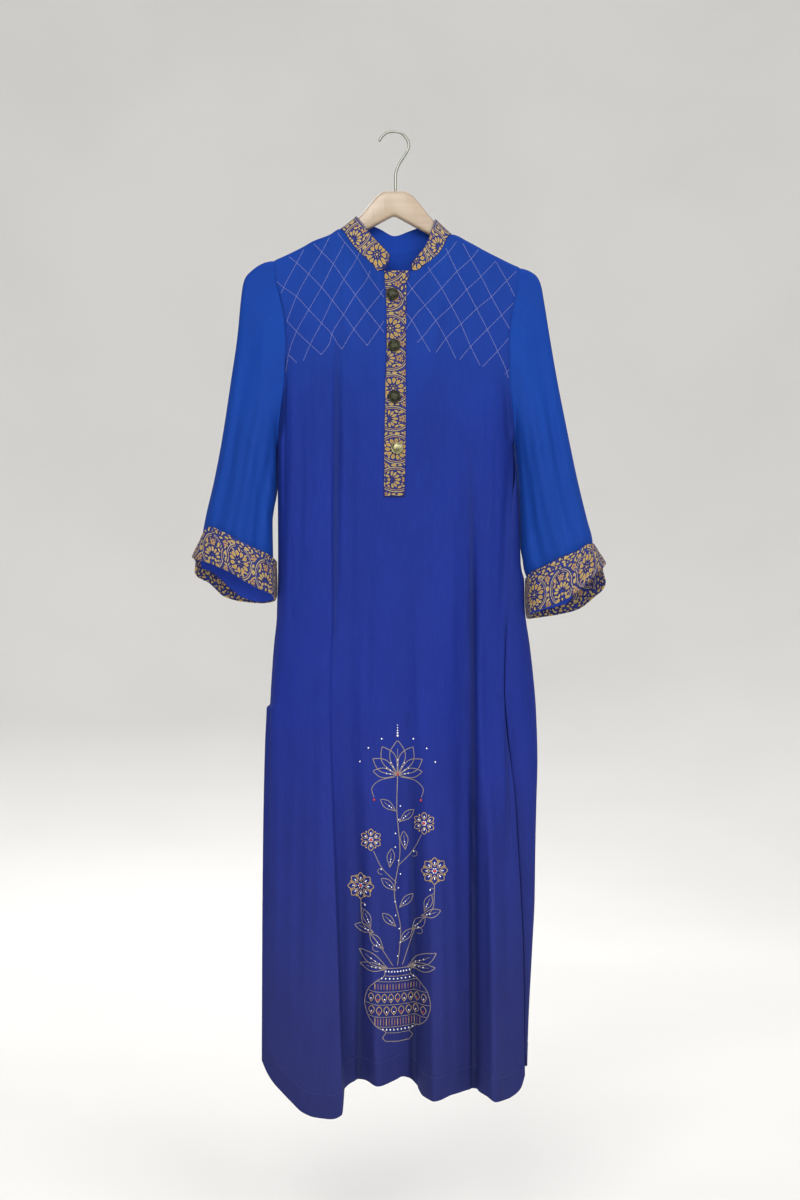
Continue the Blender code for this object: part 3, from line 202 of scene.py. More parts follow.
CUFF_FOLD_BACK = {
    "left": [(0.0, -263.4, -551.4), (0.02, -260.4, -556.5), (0.06, -261.9, -570.5),
             (0.19, -244.2, -584.6), (0.40, -224.0, -602.3), (0.60, -200.0, -609.0),
             (0.80, -174.0, -611.0), (0.94, -157.0, -608.0), (1.0, -154.2, -604.5)],
    "right": [(0.0, 275.2, -559.6), (0.02, 272.6, -566.5), (0.06, 277.0, -583.5),
              (0.19, 263.0, -603.0), (0.40, 241.0, -619.5), (0.60, 218.0, -625.5),
              (0.80, 195.0, -629.0), (0.94, 175.0, -631.5), (1.0, 172.4, -625.5)],
}
CUFF_DEPTH = 41.0

# Collar top edge, from the left front end round the back to the right front end: (x, y, z)
COLLAR_TOP_FRONT_LEFT = [(-5.2, -30.0, -163.4), (-13.2, -25.0, -153.5), (-19.2, -21.5, -147.0),
                         (-27.1, -17.0, -138.1), (-34.7, -13.8, -128.3), (-41.5, -11.2, -119.2),
                         (-46.4, -10.2, -113.0), (-48.6, -7.4, -109.9), (-49.4, 0.0, -108.2)]
COLLAR_TOP_BACK = [(-49.4, 0.0, -108.2), (-48.8, 7.4, -109.4), (-46.5, 10.2, -111.4),
                   (-37.3, 14.5, -114.4), (-19.0, 19.0, -121.7), (0.1, 21.0, -130.5),
                   (20.2, 19.0, -124.1), (38.5, 14.5, -118.4), (49.9, 10.2, -115.2),
                   (52.7, 7.4, -113.4), (53.3, 0.0, -112.1)]
COLLAR_TOP_FRONT_RIGHT = [(53.3, 0.0, -112.1), (52.6, -7.4, -114.0), (51.0, -10.2, -118.6),
                          (46.0, -12.0, -132.8), (41.3, -15.0, -145.9), (32.5, -22.0, -159.8),
                          (22.3, -29.0, -173.3)]
COLLAR_END = {
    "left": [(-21.2, -183.5), (-13.5, -181.2), (-9.2, -176.5), (-6.6, -168.8), (-5.2, -163.4)],
    "right": [(25.2, -183.5), (22.0, -181.0), (21.6, -178.3), (21.8, -175.8), (22.3, -173.3)],
}

# Button centres from the front: name, x, z
BUTTON_ROWS = [("button_1", -2.5, -214.0), ("button_2", -0.3, -280.8),
               ("button_3", 0.1, -347.1), ("button_4", 3.4, -412.9)]

# Hanger: top and lower edge; centre line of the hook's wire: (x, z)
HANGER_TOP = [(-158.0, -174.5), (-138.2, -162.2), (-105.2, -145.0), (-84.6, -137.0),
              (-70.0, -129.5), (-56.0, -118.0), (-43.0, -106.4), (-27.0, -87.4),
              (-17.8, -78.6), (-11.2, -75.8), (11.4, -75.8), (22.0, -80.6), (32.6, -92.4),
              (41.9, -104.0), (53.0, -116.5), (62.0, -126.0), (72.0, -135.0),
              (96.6, -147.0), (120.1, -159.4), (151.7, -175.0), (164.0, -182.5)]
HANGER_UNDER = [(-158.0, -189.0), (-138.2, -180.0), (-105.2, -164.6), (-75.0, -148.5),
                (-34.5, -126.0), (-0.7, -108.0), (46.5, -133.5), (75.0, -149.5),
                (96.6, -161.0), (120.1, -173.5), (151.7, -190.0), (164.0, -195.5)]
HOOK_LINE = [(-19.8, -11.4), (-18.4, -7.4), (-15.1, -3.5), (-8.5, 1.0), (-1.9, 1.9), (5.9, 1.0),
             (11.0, -1.6), (14.8, -6.2), (18.2, -12.4), (18.7, -17.0), (16.6, -23.1),
             (10.0, -33.8), (5.6, -41.0), (3.0, -47.5), (1.2, -55.2), (1.2, -75.4)]

# Working tools: curves and grids as arrays


def smoothstep(a, b, x):
    t = np.clip((np.asarray(x, float) - a) / (b - a), 0.0, 1.0)
    return t * t * (3.0 - 2.0 * t)


def lerp(a, b, t):
    return a + (b - a) * t


def bell(x, width):
    """1 at zero, fading on both sides over the width."""
    return np.exp(-(x / width) ** 2)


def hump(x):
    """1 at zero, 0 from one on."""
    return 0.5 * (1.0 + np.cos(math.pi * np.clip(np.abs(x), 0.0, 1.0)))


def rounded(share, least=0.0):
    """Quarter of a circle: rises from 0 to 1 with the share."""
    return np.sqrt(np.clip(1.0 - (1.0 - np.clip(share, least, 1.0)) ** 2, 0.0, 1.0))


def arch(share, power):
    """Flattened half circle over shares from 0 to 1."""
    return np.sqrt(np.clip(1.0 - np.abs(2.0 * share - 1.0) ** power, 0.0, 1.0))


def ridges(distance, rows):
    """Low ridges and grooves along a border: height, place and half width of each."""
    return sum(height * bell(distance - place, half) for height, place, half in rows)


def uneven(run, pitch, sway, slow):
    """Wave whose pitch wanders slowly."""
    return np.sin(run / pitch + sway * np.sin(run / slow))


def polar(x, y, angle, r):
    return x + r * math.cos(angle), y + r * math.sin(angle)


def running(points):
    """Length of a line up to each of its points."""
    steps = np.linalg.norm(np.diff(points, axis=0), axis=1)
    return np.concatenate([[0.0], np.cumsum(steps)])


def eased(line, times):
    """The same line with its inner points drawn towards their neighbours."""
    for _ in range(times):
        line[1:-1] = 0.25 * line[:-2] + 0.5 * line[1:-1] + 0.25 * line[2:]
    return line


def spaced(stops, counts):
    """Even steps between stops, with a count of places for each stretch."""
    parts = [np.linspace(a, b, n) for a, b, n in zip(stops, stops[1:], counts)]
    return np.concatenate(parts[:1] + [part[1:] for part in parts[1:]])


def finer(zone, count):
    """The same spacing as a coarse list of shares, with count values."""
    return np.interp(np.linspace(0, len(zone) - 1, count), np.arange(len(zone)), zone)


def merged(shares, keys, apart):
    kept = [s for s in shares if all(abs(s - k) > apart for k in keys)]
    return np.array(sorted(kept + list(keys)))


def hermite(knots, values, x):
    """Smooth curve that never overshoots, through values (K or K x N) at the knots."""
    knots = np.asarray(knots, float)
    values = np.asarray(values, float)
    shape = np.shape(x)
    x = np.clip(np.ravel(np.asarray(x, float)), knots[0], knots[-1])
    if values.ndim == 1:
        values = values[:, None]
    step = np.diff(knots)[:, None]
    slope = np.diff(values, axis=0) / step
    grad = np.zeros_like(values)
    grad[0], grad[-1] = slope[0], slope[-1]
    if len(knots) > 2:
        wa = 2 * step[1:] + step[:-1]
        wb = step[1:] + 2 * step[:-1]
        safe = np.where(slope[:-1] * slope[1:] > 0.0, 1.0, 0.0)
        low = np.where(safe > 0.0, slope[:-1], 1.0)
        high = np.where(safe > 0.0, slope[1:], 1.0)
        grad[1:-1] = safe * (wa + wb) / (wa / low + wb / high)
    i = np.clip(np.searchsorted(knots, x, side="right") - 1, 0, len(knots) - 2)
    n = np.arange(x.size) if values.shape[1] > 1 else np.zeros(x.size, int)
    h = step[i, 0]
    t = (x - knots[i]) / h
    out = ((1 + 2 * t) * (1 - t) ** 2 * values[i, n] + t * (1 - t) ** 2 * h * grad[i, n]
           + t * t * (3 - 2 * t) * values[i + 1, n] + t * t * (t - 1) * h * grad[i + 1, n])
    return out.reshape(shape)


def curve(points):
    xs, ys = zip(*sorted(points))
    return lambda x: hermite(xs, ys, x)


def path(points):
    """Smooth path through points of any size, by share of its length."""
    pts = np.array(points, float)
    lengths = running(pts)
    return lambda t: np.stack([hermite(lengths / lengths[-1], pts[:, k], t)
                               for k in range(pts.shape[1])], axis=-1)


# Body panels: x and y by share across, height z and drop h below the top line

edge_left = curve(EDGE_LEFT)
seam_right = curve(SEAM_RIGHT)
outline_right_low = curve(OUTLINE_RIGHT)
depth_left = curve(DEPTH_LEFT)
depth_right = curve(DEPTH_RIGHT)
front_top = curve(SHOULDER_LEFT[::-1][:-1] + NECK_FRONT_LEFT + NECK_FRONT_RIGHT
                  + SHOULDER_RIGHT[1:])
back_top = curve(SHOULDER_LEFT[::-1][:-1] + NECK_BACK + SHOULDER_RIGHT[1:])
front_hem = curve(FRONT_HEM)
back_hem = curve(BACK_HEM)
neck_front_depth = curve(NECK_FRONT_DEPTH)
neck_back_depth = curve(NECK_BACK_DEPTH)
back_depth = curve(BACK_DEPTH)
NECK_X = (NECK_FRONT_LEFT[0][0], NECK_FRONT_RIGHT[-1][0])
FOLDS = np.array(list(FRONT_FOLDS.values()))
FOLD_TOP, FOLD_HEM, FOLD_DEPTHS = FOLDS[:, 0], FOLDS[:, 1], FOLDS[:, 2:]
FOLD_KNOTS = [0.0, *FOLD_HEM, 1.0]
FOLD_START = -150.0         # here a fold has its first share of the chest depth
FOLD_START_SHARE = 0.8
BACK_FOLD_START = -330.0
BACK_FOLD_HIP = 0.45        # share of the way to the hem where the hip height is reached
NECK_EASE = 0.02            # slope by which the cloth leaves the neck's edge
STEP_DROP, STEP_SHARE = 6.0, 0.12   # drop and share of the width in which the slit step fades
TURN_DROP = 70.0            # drop below the armpit in which the back comes round to the front
BACK_ROUND, SLEEVE_ROUND, CUFF_ROUND = 2.6, 2.2, 2.3    # fullness of each section
# How the back stands off at an open slit: drop in which it does, then its way in x and y
BACK_SLACK = {"left": (120.0, 5.0, 11.0), "right": (90.0, 0.8, 8.0)}
CHEST, HEM = FRONT_STATIONS[0], FRONT_STATIONS[-1]


def open_slit(side, z, reach):
    return smoothstep(0.0, reach, SLIT_TOP[side] - z)


def over_shoulder(x, y_low, z, h, way, neck):
    """Points whose depth goes over from the shoulder's round or the neck to that of the body."""
    y_top = SHOULDER_ROUND * rounded(h / SHOULDER_ROUND)
    inside = (x > NECK_X[0]) & (x < NECK_X[1])
    y_top = way * np.where(inside, np.maximum(y_top, way * neck(x) + NECK_EASE * h), y_top)
    return np.stack([x, lerp(y_top, y_low, smoothstep(0.0, SHOULDER_BLEND, h)), z], axis=-1)


def front_across(s, z):
    drop = np.clip((CHEST - z) / (CHEST - HEM), 0.0, 1.0)
    rows = FOLD_TOP[:, None] + (FOLD_HEM - FOLD_TOP)[:, None] * drop
    values = np.vstack([np.zeros_like(z), rows, np.ones_like(z)])
    return hermite(FOLD_KNOTS, values, s)


def front_surface(s, z, h):
    shape = s.shape
    s, z, h = s.ravel(), z.ravel(), h.ravel()
    rows = [curve(zip((FOLD_START, *FRONT_STATIONS), (FOLD_START_SHARE * depths[0], *depths)))(z)
            for depths in FOLD_DEPTHS]
    y_low = hermite(FOLD_KNOTS, np.vstack([depth_left(z), *rows, depth_right(z)]), s)
    x = lerp(edge_left(z), seam_right(z), front_across(s, z))
    x = x - SLIT_STEP * open_slit("left", z, STEP_DROP) * (1.0 - smoothstep(0.0, STEP_SHARE, s))
    return over_shoulder(x, y_low, z, h, -1.0, neck_front_depth).reshape(*shape, 3)


def solve_share(goal, top):
    """Front column share whose top end lies at x = goal."""
    z = np.array([float(top(goal))])
    low, high = 0.0, 1.0
    for _ in range(40):
        mid = (low + high) / 2
        x = lerp(edge_left(z), seam_right(z), front_across(np.array([mid]), z))[0]
        low, high = (mid, high) if x < goal else (low, mid)
    return (low + high) / 2


def share_at(x, top):
    z = top(x)
    return float((x - edge_left(z)) / (seam_right(z) - edge_left(z)))


def column_tops(s, top, across):
    """Where each column share meets the top line."""
    z = np.full(len(s), (SHOULDER_LEFT[-1][1] + SHOULDER_RIGHT[-1][1]) / 2)
    for _ in range(120):
        x = lerp(edge_left(z), seam_right(z), across(s, z))
        z = lerp(z, top(x), 0.3)
    x[0], z[0] = SHOULDER_LEFT[-1]
    x[-1], z[-1] = SHOULDER_RIGHT[-1]
    return x, z


# Rows down a column: shoulder to armpit, armpit to slit top, slit top to hem
ARM = finer((0.0, 0.006, 0.024, 0.054, 0.105, 0.19, 0.30, 0.43, 0.56, 0.69, 0.81, 0.90, 0.965,
             1.0), 58)
SIDE = finer((0.0, 0.06, 0.16, 0.28, 0.41, 0.54, 0.67, 0.80, 0.91, 1.0), 46)
SLIT = spaced((0.0, 0.013, 0.905, 1.0), (4, 66, 36))
SLIT_ROW = len(ARM) + len(SIDE) - 2


def sheet_grid(shares, top, across, hem, surface):
    z_top = column_tops(shares, top, across)[1][:, None]
    z_slit = lerp(SLIT_TOP["left"], SLIT_TOP["right"], shares)[:, None]
    z = np.hstack([lerp(z_top, ARMPIT_DROP, ARM), lerp(ARMPIT_DROP, z_slit, SIDE[1:]),
                   lerp(z_slit, hem(shares)[:, None], SLIT[1:])])
    return surface(np.broadcast_to(shares[:, None], z.shape), z, z_top - z)


# Share of the back at which it starts to turn round to the front on the right
BACK_TURN = share_at(column_tops(np.array([0.0, 0.905, 1.0]), front_top, front_across)[0][1],
                     back_top)


def back_surface(f, z, h):
    shape = f.shape
    f, z, h = f.ravel(), z.ravel(), h.ravel()
    turned = smoothstep(0.0, TURN_DROP, ARMPIT_DROP - z)
    rest = (f - BACK_TURN) / (1.0 - BACK_TURN)
    p = np.where(f <= BACK_TURN, f * lerp(1.0, 1.0 / BACK_TURN, turned),
                 lerp(f, 1.0 + rest, turned))
    above = z > ARMPIT_DROP
    reach, aside, deep = BACK_SLACK["left"]
    slack = open_slit("left", z, reach)
    x_left = edge_left(z) + aside * slack
    y_left = np.where(above, -depth_left(z), deep * slack)
    reach, aside, deep = BACK_SLACK["right"]
    slack = open_slit("right", z, reach)
    x_end = seam_right(z) + aside * slack
    y_end = np.where(above, -depth_right(z), depth_right(z) + deep * slack)
    x_out = np.where(z < ARMPIT_DROP, outline_right_low(z), seam_right(z))
    edge_y = lerp(y_left, np.where(z >= ARMPIT_DROP, y_end, 0.0), p)
    y = edge_y + (back_depth(z) - edge_y) * arch(p, BACK_ROUND)
    drop = np.clip((BACK_FOLD_START - z) / (BACK_FOLD_START - HEM), 0.0, 1.0)
    for f_top, f_hem, half, hip, hem in BACK_FOLDS:
        height = np.interp(drop, (0.0, BACK_FOLD_HIP, 1.0), (0.0, hip, hem))
        y = y + height * hump((p - lerp(f_top, f_hem, drop)) / half)
    b = math.pi / 2 * np.clip(p - 1.0, 0.0, 1.0)
    x = np.where(p <= 1.0, lerp(x_left, x_out, p), x_out - (x_out - x_end) * (1.0 - np.cos(b)))
    y_low = np.where(p <= 1.0, y, y_end * np.sin(b))
    return over_shoulder(x, y_low, z, h, 1.0, neck_back_depth).reshape(*shape, 3)


def grid_normals(grid, sample, direction, around=False):
    """Unit normals of a grid, turned so that the sample one looks along direction."""
    if around:
        du = np.roll(grid, -1, axis=0) - np.roll(grid, 1, axis=0)
    else:
        du = np.gradient(grid, axis=0)
    n = np.cross(du, np.gradient(grid, axis=1))
    n /= np.maximum(np.linalg.norm(n, axis=-1, keepdims=True), 1e-9)
    return -n if np.dot(n[sample], direction) < 0.0 else n


def along(grid, axis):
    """Running length over a grid along one axis."""
    steps = np.linalg.norm(np.diff(grid, axis=axis), axis=-1)
    pad = [(0, 0), (0, 0)]
    pad[axis] = (1, 0)
    return np.cumsum(np.pad(steps, pad), axis=axis)


def creases(x, z, rows):
    """Summed height of soft creases, given one by one: ends, bow, half width and height."""
    total = np.zeros_like(x)
    for xa, za, xb, zb, bow, half, height in rows:
        length = math.hypot(xb - xa, zb - za)
        ux, uz = (xb - xa) / length, (zb - za) / length
        t = ((x - xa) * ux + (z - za) * uz) / length
        swell = np.sin(math.pi * np.clip(t, 0.0, 1.0))
        off = -(x - xa) * uz + (z - za) * ux - bow * swell
        total += height * swell ** 0.8 * hump(off / half)
    return total


def cloth_at(u, v, hem=None):
    """Places on the cloth in mm, with the share of hem as third value."""
    return np.stack([u, v, np.zeros_like(v) if hem is None else hem], axis=-1)


# Meshes


def mesh_object(name, points, faces, mats, face_mats=None, values=None, sharp=50.0):
    mesh = bpy.data.meshes.new(name)
    mesh.from_pydata((np.asarray(points, float) * 0.001).tolist(), [], faces)
    for mat in mats:
        mesh.materials.append(mat)
    if face_mats is not None:
        mesh.polygons.foreach_set("material_index", np.asarray(face_mats, np.int32))
    mesh.polygons.foreach_set("use_smooth", np.ones(len(mesh.polygons), bool))
    for key, data in (values or {}).items():
        data = np.asarray(data, float)
        kind = "FLOAT" if data.ndim == 1 else "FLOAT_VECTOR"
        layer = mesh.attributes.new(key, kind, "POINT")
        layer.data.foreach_set("value" if data.ndim == 1 else "vector", data.ravel())
    mesh.update()
    mesh.set_sharp_from_angle(angle=math.radians(sharp))
    obj = bpy.data.objects.new(name, mesh)
    bpy.context.collection.objects.link(obj)
    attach(obj, "root")
    return obj


def grid_faces(nu, nv, around, start=0, flip=False):
    i = np.arange(nu if around else nu - 1)[:, None]
    j = np.arange(nv - 1)[None, :]
    k = (i + 1) % nu
    quads = np.stack([i * nv + j, k * nv + j, k * nv + j + 1, i * nv + j + 1], axis=-1)
    quads = quads.reshape(-1, 4) + start
    return quads[:, ::-1] if flip else quads


def shell(name, outer, way, thick, mats, values, around=False, face_mats=None):
    """Closed thin cloth from a grid of outer points and its outward normals."""
    nu, nv = outer.shape[:2]
    inner = outer - way * thick
    count = nu * nv
    mid = (nu // 4, nv // 2)
    corner = np.cross(outer[mid[0] + 1, mid[1]] - outer[mid],
                      outer[mid[0], mid[1] + 1] - outer[mid])
    flip = np.dot(corner, way[mid]) < 0.0
    faces = [grid_faces(nu, nv, around, 0, flip), grid_faces(nu, nv, around, count, not flip)]
    if face_mats is None:
        face_mats = [np.zeros(len(f), int) for f in faces]
    i = np.arange(nu if around else nu - 1)
    k = (i + 1) % nu
    rims = [(i * nv + j, k * nv + j, turn) for j, turn in ((0, False), (nv - 1, True))]
    if not around:
        j = np.arange(nv - 1)
        rims += [(i0 * nv + j + 1, i0 * nv + j, turn) for i0, turn in ((0, False), (nu - 1, True))]
    for a, b, turn in rims:
        rim = np.stack([a, a + count, b + count, b], axis=-1)
        faces.append(rim[:, ::-1] if turn != flip else rim)
    mat_index = [m.ravel() for m in face_mats] + [np.zeros(len(f), int) for f in faces[2:]]
    points = np.vstack([outer.reshape(-1, 3), inner.reshape(-1, 3)])
    data = {}
    for key, value in values.items():
        flat = value.reshape(-1, 3) if value.ndim == 3 else value.ravel()
        data[key] = np.concatenate([flat, flat])
    return mesh_object(name, points, np.vstack(faces).tolist(), mats, np.concatenate(mat_index),
                       values=data)


def rod(name, rings, mats):
    """Closed body through rings of points."""
    verts = np.array(rings).transpose(1, 0, 2)
    sides, count = verts.shape[:2]
    faces = grid_faces(sides, count, True).tolist()
    faces.append([k * count for k in range(sides)][::-1])
    faces.append([k * count + count - 1 for k in range(sides)])
    return mesh_object(name, verts.reshape(-1, 3), faces, mats)


TUBE_END = 0.55         # size of a cord's or stitch's ends against its middle
STITCH_DIVE = np.array([-0.22, 0.08, 0.08, -0.22])      # lift along a stitch


def tube(points, normals, half_wide, half_high, sides):
    """Vertices and faces of a flat closed tube along points."""
    pts = np.asarray(points, float)
    nrm = np.asarray(normals, float)
    side = np.cross(np.gradient(pts, axis=0), nrm)
    side /= np.maximum(np.linalg.norm(side, axis=1, keepdims=True), 1e-9)
    a = np.linspace(0.0, math.tau, sides, endpoint=False)
    n = len(pts)
    taper = np.ones((n, 1, 1))
    taper[[0, -1]] = TUBE_END
    ring = (side[:, None, :] * (np.cos(a)[None, :, None] * half_wide * taper)
            + nrm[:, None, :] * (np.sin(a)[None, :, None] * half_high * taper))
    verts = (pts[:, None, :] + ring).reshape(-1, 3)
    faces = []
    for k in range(n - 1):
        for m in range(sides):
            p, q = k * sides + m, k * sides + (m + 1) % sides
            faces.append([p, p + sides, q + sides, q])
    faces.append(list(range(sides)))
    faces.append(list(range((n - 1) * sides, n * sides))[::-1])
    return verts, faces


class Heap:
    """Many small meshes gathered into one object."""

    def __init__(self):
        self.verts, self.faces, self.mats, self.count = [], [], [], 0

    def add(self, verts, faces, mat=0):
        self.verts.append(np.asarray(verts, float))
        self.faces += [[i + self.count for i in f] for f in faces]
        self.mats += [mat] * len(faces)
        self.count += len(verts)

    def make(self, name, mats):
        return mesh_object(name, np.vstack(self.verts), self.faces, mats, self.mats, sharp=60.0)


# Ball of four rings with eight sides, for beads
BALL = np.array([(0, 0, -1.0)]
                + [(*polar(0.0, 0.0, math.tau * step / 8, math.cos(math.radians(high))),
                    math.sin(math.radians(high)))
                   for high in (-62.0, -22.0, 22.0, 62.0) for step in range(8)]
                + [(0, 0, 1.0)])
BALL_FACES = ([[0, 1 + (k + 1) % 8, 1 + k] for k in range(8)]
              + [[1 + r * 8 + k, 1 + r * 8 + (k + 1) % 8, 9 + r * 8 + (k + 1) % 8, 9 + r * 8 + k]
                 for r in range(3) for k in range(8)]
              + [[25 + k, 25 + (k + 1) % 8, 33] for k in range(8)])


class Skin:
    """Surface of a finished piece, read from the front."""

    def __init__(self, obj):
        mesh = obj.data
        verts = np.empty(len(mesh.vertices) * 3)
        mesh.vertices.foreach_get("co", verts)
        self.tree = BVHTree.FromPolygons([Vector(v) for v in verts.reshape(-1, 3) * 1000.0],
                                         [tuple(p.vertices) for p in mesh.polygons])

    def at(self, x, z):
        """Nearest point and its normal, both as arrays, or None."""
        hit, normal, _, _ = self.tree.ray_cast(Vector((x, -300.0, z)), Vector((0.0, 1.0, 0.0)))
        if hit is None:
            return None
        return np.array(hit), np.array(-normal if normal.y > 0.0 else normal)

    def line(self, points, step, lift):
        """Points along a front-view line of (x, z), laid on the surface."""
        pts = np.array(points, float)
        lengths = running(pts)
        count = max(2, int(round(lengths[-1] / step)) + 1)
        at = np.linspace(0.0, lengths[-1], count)
        found = [self.at(x, z) for x, z in zip(hermite(lengths, pts[:, 0], at),
                                               hermite(lengths, pts[:, 1], at))]
        found = [place for place in found if place is not None]
        return (np.array([place + way * lift for place, way in found]),
                np.array([way for _, way in found]))


def add_stitches(heap, pts, ways, long, gap, half_wide, half_high):
    """Running stitches along a laid line; each dives into the cloth at both ends."""
    if len(pts) < 4:
        return
    lengths = running(pts)
    count = max(1, round((lengths[-1] + gap) / (long + gap)))
    step = (lengths[-1] + gap) / count
    for number in range(count):
        place = number * step
        size = (step - gap) * (1.0 + 0.06 * math.sin(number * 2.4))
        at = np.linspace(place, min(place + size, lengths[-1]), 4)
        p = np.stack([np.interp(at, lengths, pts[:, k]) for k in range(3)], axis=1)
        w = np.stack([np.interp(at, lengths, ways[:, k]) for k in range(3)], axis=1)
        p += w * STITCH_DIVE[:, None]
        heap.add(*tube(p, w, half_wide, half_high, 5))


# Printed pattern: motifs in a repeat, read as a distance to the nearest edge

REPEAT_LONG, REPEAT_HIGH = 78.0, 52.0
AROUND = 2              # reach of a shape's distance past its own size
BARE = 4.0              # distance given to bare ground
TWIN_APART, TWIN_WIDE = 2.3, 1.3


class Motifs:
    def __init__(self):
        self.shapes = []

    def disc(self, x, y, r, tone):
        self.shapes.append(("disc", (x, y, r), (x, y, r + AROUND), tone))

    def petal(self, x, y, turn, long, wide, fat, tone):
        a = math.radians(turn)
        self.shapes.append(("petal", (x, y, a, long, wide, fat),
                            (*polar(x, y, a, long / 2), long * 0.6 + AROUND), tone))

    def stroke(self, points, wide, tone):
        pts = np.array(points, float)
        centre = pts.mean(axis=0)
        reach = np.linalg.norm(pts - centre, axis=1).max() + AROUND
        self.shapes.append(("stroke", (pts, wide), (*centre, reach), tone))

    def rosette(self, x, y, r):
        self.disc(x, y, r * 0.12, 0.82)
        for k in range(7):
            self.disc(*polar(x, y, math.tau * k / 7, r * 0.28), r * 0.065, 0.62)
        for k in range(11):
            turn = 360.0 * k / 11 + 9.0
            self.petal(*polar(x, y, math.radians(turn), r * 0.42), turn, r * 0.62, r * 0.37,
                       1.5, 0.62 - 0.10 * (k % 2))

    def fan(self, x, y, turn, r):
        for k in range(7):
            swing = (k - 3) * 26.0
            size = r * (1.0 - 0.18 * abs(swing) / 75.0)
            self.petal(*polar(x, y, math.radians(turn + swing), 0.30 * r), turn + swing,
                       size * 0.76, r * 0.265, 1.7, 0.6 - 0.10 * (k % 2))
        self.disc(*polar(x, y, math.radians(turn + 180.0), r * 0.20), r * 0.15, 0.6)

    def flower(self, x, y, r, turn):
        for k in range(5):
            a = turn + 360.0 * k / 5
            self.petal(*polar(x, y, math.radians(a), 0.12 * r), a, r * 0.9, r * 0.70, 1.3, 0.30)

    def sprig(self, x, y, turn, long, tone):
        """Stem with a leaf at its tip and one on each side."""
        a = math.radians(turn)
        tip = polar(x, y, a, long * 0.5)
        self.stroke([(x, y), tip], 0.8, tone + 0.25)
        self.petal(*tip, turn, long * 0.55, long * 0.26, 1.1, tone)
        for swing in (58.0, -58.0):
            self.petal(*polar(x, y, a, long * 0.22), turn + swing, long * 0.5, long * 0.2, 1.0,
                       tone + 0.06)

    def twin(self, x, y):
        """Two lines side by side, the outer pale and the inner rusty."""
        pts = np.stack([x, y], axis=1)
        tangent = np.gradient(pts, axis=0)
        side = np.stack([-tangent[:, 1], tangent[:, 0]], axis=1)
        side /= np.linalg.norm(side, axis=1, keepdims=True)
        self.stroke(pts - side * TWIN_APART / 2, TWIN_WIDE, 0.9)
        self.stroke(pts + side * TWIN_APART / 2, TWIN_WIDE * 0.9, 0.18)

    def fill_bare(self, room, long, fat):
        """Small leaves laid along their neighbours wherever ground is still bare."""
        gx, gy = np.meshgrid(np.arange(0.5, REPEAT_LONG), np.arange(0.5, REPEAT_HIGH))
        d, _ = self.field(gx, gy)
        dy, dx = np.gradient(d)
        x, y, r = gx.ravel(), gy.ravel(), d.ravel()
        turn = np.arctan2(dx.ravel(), -dy.ravel())
        placed = []
        for k in np.argsort(-r, kind="stable"):
            if r[k] < room:
                break
            if not 1.4 < y[k] < REPEAT_HIGH - 1.4:
                continue
            gap = [abs(x[k] - px) for px, _, _ in placed]
            gap = [min(g, REPEAT_LONG - g) for g in gap]
            if any(math.hypot(g, y[k] - py) < r[k] + pr for g, (_, py, pr) in zip(gap, placed)):
                continue
            placed.append((x[k], y[k], r[k] * 0.9 + 0.4))
            size = min(long, 2.6 * r[k])
            self.petal(*polar(x[k], y[k], turn[k], -size / 2), math.degrees(turn[k]), size,
                       min(2.0 * r[k] - 1.0, fat), 1.1, 0.45 + 0.3 * (len(placed) % 3) / 2)

    def field(self, u, v):
        """Signed distance (inside negative) and tone over cloth positions in mm."""
        shape = u.shape
        u, v = u.ravel(), v.ravel()
        row = np.floor(v / REPEAT_HIGH)
        pu = np.mod(u + row * REPEAT_LONG * 0.5, REPEAT_LONG)
        pv = v - row * REPEAT_HIGH
        dist = np.full(u.shape, BARE)
        tone = np.full(u.shape, 0.5)
        for kind, data, (cx, cy, reach), shade in self.shapes:
            for ox in (-REPEAT_LONG, 0.0, REPEAT_LONG):
                near = np.nonzero((np.abs(pu - cx - ox) < reach) & (np.abs(pv - cy) < reach))[0]
                if not len(near):
                    continue
                x, y = pu[near] - ox, pv[near]
                if kind == "disc":
                    d = np.hypot(x - data[0], y - data[1]) - data[2]
                elif kind == "petal":
                    px, py, a, long, wide, fat = data
                    t = ((x - px) * math.cos(a) + (y - py) * math.sin(a)) / long
                    b = np.abs(-(x - px) * math.sin(a) + (y - py) * math.cos(a))
                    d = b - wide / 2 * np.sin(math.pi * np.clip(t, 0.0, 1.0) ** fat) ** 0.75
                    over = np.maximum(-t, t - 1.0) * long
                    d = np.where(over > 0.0, np.hypot(over, b), d)
                else:
                    pts, wide = data
                    d = np.full(len(near), 9.0)
                    for (xa, ya), (xb, yb) in zip(pts[:-1], pts[1:]):
                        ll = (xb - xa) ** 2 + (yb - ya) ** 2
                        t = np.clip(((x - xa) * (xb - xa) + (y - ya) * (yb - ya)) / ll, 0, 1)
                        d = np.minimum(d, np.hypot(x - xa - t * (xb - xa), y - ya - t * (yb - ya)))
                    d -= wide / 2
                closer = d < dist[near]
                dist[near[closer]] = d[closer]
                tone[near[closer]] = shade
        return dist.reshape(shape), tone.reshape(shape)


